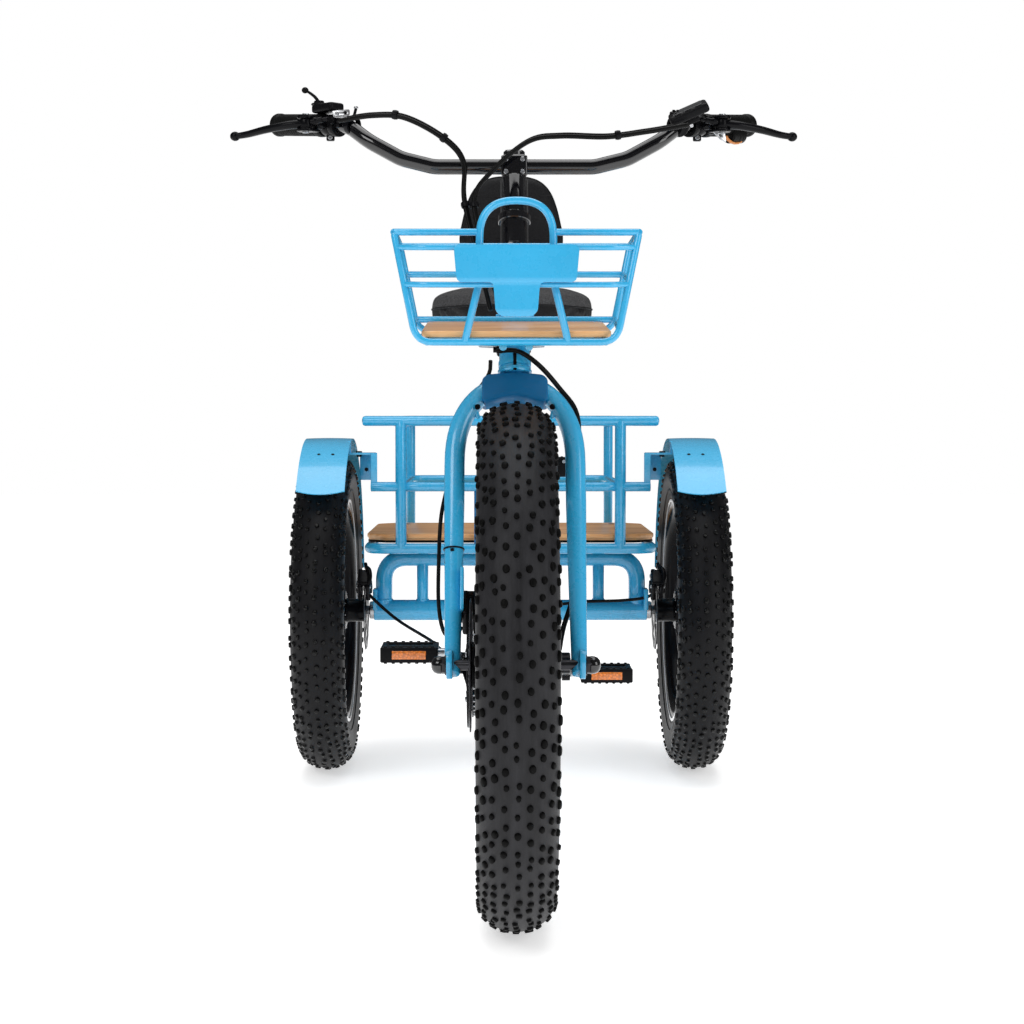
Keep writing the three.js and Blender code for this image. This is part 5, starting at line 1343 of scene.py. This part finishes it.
def build_basket():
    wire = Piece("basket_rods", "frame", PAINT)
    rod = 4.5
    back_top = BASKET_TOP - 22
    for forward, wider, up in ((0, 0, BASKET_TOP), (BASKET_DEPTH, BACK_WIDER, back_top)):
        top, bottom = basket_half(up) + wider, BOTTOM_HALF + wider
        line = [tilt(-top, forward, up), tilt(-bottom, forward, BASKET_FLOOR), tilt(bottom, forward, BASKET_FLOOR),
                tilt(top, forward, up)]
        wire.tube(line, rod, bend=26, sides=16, round_end=0.9)
    for front, back, radius in ((BASKET_TOP, back_top, rod), (BASKET_TOP - 61, BASKET_TOP - 61, 3.8),
                                (BASKET_FLOOR + 16, BASKET_FLOOR + 16, 3.8)):
        back_half = basket_half(back) + BACK_WIDER
        for sign in (1, -1):
            wire.tube([tilt(sign * basket_half(front), 0, front), tilt(sign * back_half, BASKET_DEPTH, back)], radius,
                      sides=16)
        wire.tube([tilt(-back_half, BASKET_DEPTH, back), tilt(back_half, BASKET_DEPTH, back)], rod, sides=16)
    arch_top = BASKET_TOP + 40
    half_arch = [(66, BASKET_FLOOR), (48, BASKET_FLOOR + 74), (46, arch_top)]
    arch = [tilt(-x, 0, up) for x, up in half_arch] + [tilt(x, 0, up) for x, up in reversed(half_arch)]
    wire.tube(arch, rod + 0.4, bend=45, sides=16, cuts=16)
    for sign in (1, -1):
        wire.tube([tilt(sign * TOP_HALF, 0, BASKET_TOP), tilt(sign * 50, 0, BASKET_TOP)], rod, sides=16)
    for drop in (19, 66):
        up = BASKET_TOP - drop
        half = basket_half(up)
        wire.tube([tilt(-half, 0, up), tilt(-118, -16, up), tilt(118, -16, up), tilt(half, 0, up)], 3.8, bend=30,
                  sides=14)
    for forward in (60, 125, 190):
        wire.tube([tilt(-BOTTOM_HALF, forward, BASKET_FLOOR), tilt(BOTTOM_HALF, forward, BASKET_FLOOR)], 3.6,
                  sides=12)
    for sign in (1, -1):
        wire.tube([tilt(sign * 114, 0, BASKET_FLOOR), tilt(sign * 122, BASKET_DEPTH, BASKET_FLOOR)], rod, sides=16)
    wire.finish("basket_frame", slot="blue_paint")

    board = Piece("basket_floor_board", "frame", WOOD, EDGE_WOOD)
    half_x, half_y = BOTTOM_HALF - 8, (BASKET_DEPTH - 16) / 2
    outline = rounded_outline([(-half_x, -half_y), (half_x, -half_y), (half_x, half_y), (-half_x, half_y)], 12)
    turn = Matrix.Rotation(math.radians(5.5), 4, "X")
    place = Matrix.Translation(tilt(0, BASKET_DEPTH / 2, BASKET_FLOOR + 9.7)) @ turn
    board.plate([outline], 8, place, bevel=1.6)
    board.finish("basket_floor", slot="wood")

    plate = Piece("basket_front_plate", "frame", PAINT)
    shape = [(-75, -23), (-29, -23), (-26, -60), (-19, -66), (19, -66), (26, -60), (29, -23), (75, -23), (79, 23),
             (-79, 23)]
    place = facing(v(0, BASKET_FRONT - 25 + 1.2, BASKET_TOP - 41.2), AHEAD)
    plate.plate([rounded_outline(shape, 7)], 2.5, place, bevel=0.7)
    plate.finish("basket_plate", slot="blue_paint")


# ---------------------------------------------------------------- drive
def crank_point(sign, x):
    return v(x, CRANK_Y + sign * CRANK_LENGTH * math.cos(CRANK_ANGLE),
             CRANK_Z - sign * CRANK_LENGTH * math.sin(CRANK_ANGLE))


def build_crank():
    crank = Piece("crankset_forged", "crank", ALLOY, STEEL, BLACK)
    centre = CRANK_AXLE
    crank.use(1).rod(centre - v(86, 0, 0), centre + v(86, 0, 0), 9, 28)
    for sign in (1, -1):
        hub = v(sign * 84, CRANK_Y, CRANK_Z)
        end = crank_point(sign, sign * 92)
        arm = end - hub
        path = [hub + arm * t for t in (0, 0.1, 0.3, 0.6, 0.9, 1.0)]
        crank.use(2).sweep(path, [14, 13.6, 11.8, 10.4, 10.6, 11], 24, flat=0.62)
        crank.lathe([(9.1, -10), (16, -10), (17.4, -8), (17.4, 8), (16, 9.5), (9.1, 9.5)], hub, (sign, 0, 0), 40)
        crank.bush(6.6, 13, -7, 7, (0.6, 1.4), end, (sign, 0, 0), 36)
        crank.use(1).solid([(0.6, 8.6), (8, 8.6), (8, 10.4), (4, 11.4), (0.6, 11.4)], hub, (sign, 0, 0), 32)
    plane = facing(CHAINRING, ACROSS)
    crank.use(2).plate([ring_points(78.2, 252, wave=2.4, waves=42), ring_points(60, 72)], 2.6, plane, bevel=0.5)
    plane = facing(v(CHAIN_X - 10, CRANK_Y, CRANK_Z), ACROSS)
    slots = []
    for i in range(10):
        mid = TAU * i / 10
        arc = [(95 * math.cos(mid + d * 0.04), 95 * math.sin(mid + d * 0.04)) for d in range(-5, 6)]
        arc += [(84 * math.cos(mid + d * 0.04), 84 * math.sin(mid + d * 0.04)) for d in range(5, -6, -1)]
        slots.append(rounded_outline(arc, 2, 2))
    crank.plate([ring_points(104, 120), ring_points(60, 72)] + slots, 3.6, plane, bevel=0.8)
    for i in range(5):
        angle = TAU * i / 5 + 0.3
        out = v(0, math.cos(angle), math.sin(angle))
        base = v(CHAIN_X - 4, CRANK_Y, CRANK_Z)
        crank.use(2).sweep([base + out * 14 - v(8, 0, 0), base + out * 40 - v(3, 0, 0), base + out * 68], [9, 7, 7],
                           16, flat=0.5)
        crank.use(1).bolt(base + out * 67 - v(8, 0, 0), (-1, 0, 0), 4.4, 3)
    crank.finish("crankset", slot="alloy")


def build_pedals():
    for name, sign in reversed(SIDES):
        centre = crank_point(sign, sign * 160)
        pedal = Piece("pedal_%s_platform" % name, name + "_pedal", PLASTIC, AMBER, STEEL)
        inner = crank_point(sign, sign * 88)
        pedal.use(2).rod(inner, crank_point(sign, sign * 203), 6.4, 20)
        pedal.use(0)
        for y in (-36, 36):
            pedal.box((88, 10, 24), centre + v(0, y, 0), bevel=3)
        for x in (-39, 39):
            pedal.box((10, 70, 22), centre + v(x, 0, 0), bevel=3)
        pedal.box((80, 20, 22), centre, bevel=5)
        for x in (-20, 0, 20):
            for y in (-24, 24):
                pedal.box((5, 20, 16), centre + v(x, y, 0), bevel=1)
        for y in (-41, 41):
            for z in (12, -12):
                for x in range(-36, 37, 12):
                    pedal.box((5, 5, 3), centre + v(x, y * 0.9, z), bevel=0.8)
        pedal.use(1)
        for y in (-40.6, 40.6):
            pedal.box((52, 3, 13), centre + v(0, y, 0), bevel=1.2)
        pedal.finish("pedal_" + name, slot="black_plastic")


LINK_PITCH = 12.7


def build_chain():
    """A closed run of links round the chainring and the sprocket, and the sprocket itself."""
    big, small = 84.0, 40.0
    a, b = Vector((CRANK_Y, CRANK_Z)), Vector((REAR_Y, REAR_Z))
    way = b - a
    base = math.atan2(way.y, way.x)
    lean = math.acos((big - small) / way.length)
    path = []
    top, low = base + lean, base - lean

    def on(centre, radius, angle):
        return Vector((centre.x + radius * math.cos(angle), centre.y + radius * math.sin(angle)))

    for i in range(41):
        path.append(on(a, big, top + (low + TAU - top) * i / 40))
    path += [on(a, big, low).lerp(on(b, small, low), t / 30) for t in range(1, 30)]
    for i in range(21):
        path.append(on(b, small, low + (top - low) * i / 20))
    path += [on(b, small, top).lerp(on(a, big, top), t / 30) for t in range(1, 31)]
    lengths = [0.0]
    for p, q in zip(path, path[1:]):
        lengths.append(lengths[-1] + (q - p).length)
    count = int(round(lengths[-1] / LINK_PITCH / 2)) * 2
    pins, j = [], 0
    for i in range(count):
        want = lengths[-1] * i / count
        while lengths[j + 1] < want:
            j += 1
        pins.append(path[j].lerp(path[j + 1], (want - lengths[j]) / (lengths[j + 1] - lengths[j])))
    chain = Piece("chain_links", "frame", DARK_STEEL, STEEL)
    for i, here in enumerate(pins):
        ahead = pins[(i + 1) % count]
        along = v(0, *(ahead - here)).normalized()
        middle = v(CHAIN_X, *((here + ahead) / 2))
        rise = v(1, 0, 0).cross(along)
        wide = 3.2 if i % 2 else 2.1
        outline = [(math.copysign(LINK_PITCH / 2, c) + 4.1 * c, 4.1 * s) for c, s in circle(16)]
        chain.use(0)
        for side in (1, -1):
            chain.loft([[middle + v(side * wide + dx, 0, 0) + along * p + rise * q for p, q in outline]
                        for dx in (-0.5, 0.5)])
        spot = v(CHAIN_X, *here)
        chain.use(1).rod(spot - v(3.9, 0, 0), spot + v(3.9, 0, 0), 1.8, 10)
    chain.finish("chain", slot="steel")

    sprocket = Piece("rear_sprocket_teeth", "rear_sprocket", DARK_STEEL, BLACK)
    plane = facing(SPROCKET, ACROSS)
    holes = [ring_points(4.4, 20, (24 * math.cos(TAU * i / 5), 24 * math.sin(TAU * i / 5))) for i in range(5)]
    sprocket.plate([ring_points(35.8, 120, wave=2.2, waves=20), ring_points(8.9, 30)] + holes, 2.6, plane, bevel=0.4)
    sprocket.use(1).bush(8.9, 15, -14, 14, (1, 1), SPROCKET, ACROSS, 40)
    sprocket.finish("sprocket", slot="steel")


# ---------------------------------------------------------------- seat
def soft_shape(name, rings, pressure, cap, voxel=6):
    """A stuffed cover: closed rings swell as cloth, and no point moves more than cap."""
    bm = bmesh.new()
    made = [[bm.verts.new(p * MM) for p in ring] for ring in rings]
    for low, high in zip(made, made[1:]):
        for i in range(len(low)):
            j = (i + 1) % len(low)
            bm.faces.new((low[i], low[j], high[j], high[i]))
    bm.faces.new(list(reversed(made[0])))
    bm.faces.new(made[-1])
    bmesh.ops.recalc_face_normals(bm, faces=bm.faces[:])
    mesh = bpy.data.meshes.new(name)
    bm.to_mesh(mesh)
    bm.free()
    piece = bpy.data.objects.new(name, mesh)
    bpy.context.collection.objects.link(piece)
    remesh = piece.modifiers.new("remesh", "REMESH")
    remesh.mode = "VOXEL"
    remesh.voxel_size = voxel * MM
    smooth = piece.modifiers.new("soften", "SMOOTH")
    smooth.iterations = 3
    freeze(piece)
    start = [vert.co.copy() for vert in piece.data.vertices]
    cloth = piece.modifiers.new("cloth", "CLOTH")
    cloth.settings.use_pressure = True
    cloth.settings.uniform_pressure_force = pressure
    cloth.settings.effector_weights.gravity = 0
    cloth.settings.quality = 4
    cloth.settings.mass = 0.3
    scene = bpy.context.scene
    for step in range(1, 16):
        scene.frame_set(step)
    freeze(piece)
    scene.frame_set(1)
    for vert, before in zip(piece.data.vertices, start):
        shift = vert.co - before
        if shift.length > cap * MM:
            vert.co = before + shift.normalized() * cap * MM
    subdivide = piece.modifiers.new("fine", "SUBSURF")
    subdivide.levels = subdivide.render_levels = 1
    freeze(piece)
    for face in piece.data.polygons:
        face.use_smooth = True
    return piece


def freeze(piece):
    """Put the modifiers' result into the mesh itself."""
    bpy.context.view_layer.update()
    made = bpy.data.meshes.new_from_object(piece.evaluated_get(bpy.context.evaluated_depsgraph_get()))
    piece.modifiers.clear()
    old = piece.data
    piece.data = made
    bpy.data.meshes.remove(old)


def skin_point(tree, centre, direction, stand):
    """Where a ray from outside towards centre meets the skin, in millimetres."""
    far = centre + direction * 400
    hit, _, _, _ = tree.ray_cast(far * MM, -direction)
    return (hit / MM + direction * stand) if hit else None


def bvh(piece):
    bm = bmesh.new()
    bm.from_mesh(piece.data)
    tree = BVHTree.FromBMesh(bm)
    bm.free()
    return tree


SADDLE_Y = 175
SADDLE_UNDERSIDE = 806.2


def saddle_outline(angle):
    """The saddle seen from above: a broad rear that narrows to a blunt nose towards the front."""
    rear = -math.sin(angle)
    half = 141 if rear > 0 else 141 - 60 * (abs(rear) ** 1.1)
    x = half * math.copysign(abs(math.cos(angle)) ** 0.62, math.cos(angle))
    y = 125 * abs(rear) ** 0.8 if rear > 0 else -158 * abs(rear) ** 0.9
    return x, y


def build_saddle():
    low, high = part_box("saddle_cushion")
    low, high = low / MM, high / MM
    rings = []
    levels = ((0.00, 0.88), (0.03, 0.94), (0.15, 0.97), (0.50, 0.98), (0.74, 0.97), (0.88, 0.93), (0.96, 0.85),
              (1.0, 0.68))
    height = high.z - low.z - 5
    for level, scale in levels:
        ring = []
        for k in range(72):
            x, y = saddle_outline(TAU * k / 72)
            drop = 0 if level < 0.5 else (level - 0.5) * (0.12 * (abs(y) / 150) ** 2) * height
            ring.append(v(x * scale, SADDLE_Y + y * scale, low.z + 1 + level * height - drop))
        rings.append(ring)
    saddle = soft_shape("saddle_cushion_cover", rings, 3.2, 7)
    mesh = saddle.data
    mesh.materials.append(SADDLE)
    mesh.materials.append(SIDE_BAND)
    split = (low.z + 0.52 * (high.z - low.z)) * MM
    for face in mesh.polygons:
        face.material_index = 1 if face.center.z < split else 0
    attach(saddle, "seat")
    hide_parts("saddle_cushion")

    tree = bvh(saddle)
    piping = Piece("saddle_piping", "seat", BACKREST)
    for level, radius in ((0.52, 1.7), (0.10, 1.4)):
        line = []
        for k in range(97):
            angle = TAU * k / 96
            x, y = saddle_outline(angle)
            spot = v(0, SADDLE_Y, low.z + level * (high.z - low.z))
            way = v(x, y, 0).normalized()
            point = skin_point(tree, spot, way, 0.2)
            if point:
                line.append(point)
        piping.sweep(line, radius, 10, round_end=0)
    for sign in (1, -1):
        line = []
        for k in range(31):
            y = SADDLE_Y - 118 + 190 * k / 30
            x = sign * (30 + 34 * (k / 30) ** 1.5)
            hit, _, _, _ = tree.ray_cast(v(x, y, high.z + 60) * MM, v(0, 0, -1))
            if hit:
                line.append(hit / MM + v(0, 0, 0.1))
        if len(line) > 3:
            piping.sweep(line, 1.1, 8, round_end=0)
    piping.finish(slot="upholstery")

    base = Piece("saddle_base_shell", "seat", PLASTIC, STEEL)
    rings = []
    for level, scale in ((0, 0.62), (3, 0.80), (9, 0.88), (16, 0.90)):
        ring = []
        for k in range(64):
            x, y = saddle_outline(TAU * k / 64)
            ring.append(v(x * scale, SADDLE_Y + y * scale, SADDLE_UNDERSIDE + level))
        rings.append(ring)
    base.loft(rings)
    base.use(1).box((64, 76, 6), v(0, 303, 812), bevel=1.5)
    for x in (-20, 20):
        base.bolt(v(x, 328, 815), UP, 4, 3)
    base.finish("saddle_base", slot="black_plastic")

    rails = Piece("saddle_rails", "seat", STEEL)
    for sign in (1, -1):
        rails.tube([v(sign * 22, SADDLE_Y - 120, 806), v(sign * 22, SADDLE_Y - 60, 797),
                    v(sign * 22, SADDLE_Y + 60, 797), v(sign * 56, SADDLE_Y + 96, 800)], 3.5, bend=20, sides=14)
    rails.finish(slot="steel")


def build_seatpost():
    post = Piece("seatpost_tube", "seat", ALLOY, BLACK)
    post.rod(seat_line(500), seat_line(785), 15, 36)
    post.use(1).box((52, 30, 24), seat_line(789), bevel=6)
    post.rod(seat_line(789) - v(32, 0, 0), seat_line(789) + v(32, 0, 0), 5, 16)
    post.finish("seatpost", slot="alloy")
    clamp = Piece("seat_clamp_quick_release", "frame", BLACK, STEEL)
    axis = (seat_line(666) - seat_line(638)).normalized()
    clamp.lathe([(19.2, 0), (23, 0), (24, 1.4), (24, 26), (23, 28), (15.4, 29), (15.4, 27), (19.2, 26)],
                seat_line(638), axis, 48)
    spot = seat_line(650) + v(0, 26, -6)
    clamp.box((26, 12, 16), spot, bevel=2.5)
    clamp.use(1).rod(spot - v(22, 0, 0), spot + v(20, 0, 0), 3, 14)
    clamp.use(0).sweep(spline([spot + v(-20, 0, 0), spot + v(-28, -14, -2), spot + v(-30, -34, -4),
                               spot + v(-28, -52, -4)], 14),
                       [5.5, 5.8, 6, 6, 6, 5.8, 5.6, 5.4, 5.2, 5, 4.8, 4.6, 4.4, 4.2, 4], 14, flat=0.5)
    clamp.finish("seat_clamp", slot="black_metal")


def backrest_outline(angle, scale):
    half_top, half_bottom, half_high = 72, 104, 75
    c, s = math.cos(angle), math.sin(angle)
    power = 0.6 if s > 0 else 0.36
    x = math.copysign(abs(c) ** power, c)
    z = math.copysign(abs(s) ** power, s)
    half = half_bottom + (half_top - half_bottom) * (z + 1) / 2
    return x * half * scale, z * half_high * scale


def build_backrest():
    low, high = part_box("backrest_cushion")
    low, high = low / MM, high / MM
    centre = v(0, (low.y + high.y) / 2, (low.z + high.z) / 2)
    lean = Matrix.Rotation(-0.07, 4, "X")
    depth = (high.y - low.y) / 2 - 8
    rings = []
    for level, scale in ((-1, 0.74), (-0.86, 0.86), (-0.4, 0.93), (0.2, 0.955), (0.7, 0.95), (1, 0.91)):
        ring = []
        for k in range(80):
            x, z = backrest_outline(TAU * k / 80, scale)
            ring.append(centre + lean.to_3x3() @ v(x, level * depth, z))
        rings.append(ring)
    pad = soft_shape("backrest_cushion_cover", rings, 3.0, 6, voxel=5)
    mesh = pad.data
    mesh.materials.append(BACKREST)
    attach(pad, "seat")
    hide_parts("backrest_cushion")

    tree = bvh(pad)
    trim = Piece("backrest_piping", "seat", BACKREST)
    line = []
    for k in range(121):
        x, z = backrest_outline(TAU * k / 120, 1)
        spot = centre + v(0, -depth * 0.1, 0)
        point = skin_point(tree, spot, v(x, 0, z).normalized(), 0.1)
        if point:
            line.append(point)
    trim.sweep(line, 1.9, 10, round_end=0)
    for height in (-38, 0, 38):
        seam = []
        for k in range(41):
            x = -84 + 168 * k / 40
            x *= 1 - 0.0013 * (height + 40)
            bend = 7 * math.cos(math.pi * x / 170)
            hit, _, _, _ = tree.ray_cast((centre + v(x, -120, height - bend)) * MM, v(0, 1, 0))
            if hit:
                seam.append(hit / MM + v(0, 0.5, 0))
        if len(seam) > 3:
            trim.sweep(seam, 1.2, 8, round_end=0)
    trim.finish(slot="upholstery")

    holder = Piece("backrest_bracket", "seat", BLACK, STEEL)
    for sign in (1, -1):
        holder.tube([v(sign * 20, 333, 812), v(sign * 20, 411, 828), v(sign * 20, 423, 1056)], 6, bend=30, sides=18)
    for z in (900, 1000):
        y = 411 + 12 * (z - 828) / 228
        holder.box((60, 6, 12), v(0, y, z), bevel=1.5)
        for x in (-22, 22):
            holder.use(1).bolt(v(x, y + 3, z), (0, 1, 0), 4, 3).use(0)
    holder.finish("backrest_frame", slot="black_metal")


# ---------------------------------------------------------------- battery and control box
def build_electrics():
    pack = Piece("battery_case", "frame", PLASTIC, ALLOY, RUBBER)
    centre = v(0, 250, 430)
    turn = Matrix.Rotation(-0.3, 4, "X")

    def at(x, y, z):
        return centre + turn.to_3x3() @ v(x, y, z)

    pack.box((74, 108, 236), centre, turn=turn, bevel=12, segments=5)
    pack.box((60, 112, 40), at(0, 0, 60), turn=turn, bevel=4)
    pack.use(2).tube([at(-20, 0, 116), at(-20, 0, 120), at(20, 0, 120), at(20, 0, 116)], 4, bend=4, sides=12)
    pack.use(1).solid([(0.6, 0), (7, 0), (7, 2), (3, 2), (3, 0.6), (0.6, 0.6)], at(37, 10, 70), ACROSS, 28)
    pack.finish("battery", slot="black_plastic")
    box = Piece("controller_case", "frame", PLASTIC, STEEL, CABLE)
    centre = v(68, 250, 588)
    box.box((56, 60, 34), centre, bevel=4)
    for i in range(6):
        box.box((3, 56, 3), centre + v(-20 + 8 * i, 0, 16.6), bevel=0.8)
    box.box((34, 30, 8), v(26, 250, 588), bevel=1.5)
    for x in (-22, 22):
        box.use(1).bolt(centre + v(x, -30, 10), AHEAD, 3, 2).use(0)
    box.use(2).sweep(spline([centre + v(-10, -26, -14), centre + v(-16, -52, -44), v(18, 176, 470), v(12, 150, 420)],
                            30), 3.4, 12)
    box.finish("controller_box", slot="black_plastic")


# ---------------------------------------------------------------- brake hoses under the frame
def build_rear_brake_lines():
    lines = Piece("rear_brake_hoses", "frame", CABLE)
    right = [v(-272, 556, 345), v(-262, 548, 332), v(-214, 540, 291), v(-148, 400, 268), v(-122, 290, 262),
             v(-84, 216, 264), v(-44, 176, 268), v(-27, 118, 262), v(-26, 66, 254)]
    left = [v(272, 556, 345), v(262, 566, 332), v(214, 582, 324), v(120, 578, 320), v(40, 500, 310), v(26, 250, 284),
            v(25, 100, 270)]
    for route in (right, left):
        lines.sweep(spline(route, 60), 3, 14)
    lines.finish(slot="rubber")
    hose = Piece("fork_leg_hose", "steering", CABLE)
    route = [in_front(-34, 755, 30), in_front(-37, 735, 14), in_front(-60, 700, -24), in_front(-84, 640, -24),
             in_front(-92, 590, -22), v(-102, -512, 540), v(-105, -528, 480), v(-105, -540, 420), v(-98, -552, 384),
             v(-84, -566, 376), v(-73, -574, 392)]
    hose.sweep(spline(route, 70), 2.8, 14)
    hose.finish(slot="rubber")


set_camera()
set_stage()
build_front_wheel()
build_rear_wheels()
build_calipers()
build_fork()
build_headset_and_stem()
build_handlebar()
build_left_controls()
build_right_controls()
build_cables()
build_main_frame()
build_subframe()
build_rack()
build_fenders()
build_basket()
build_crank()
build_pedals()
build_chain()
build_saddle()
build_seatpost()
build_backrest()
build_electrics()
build_rear_brake_lines()
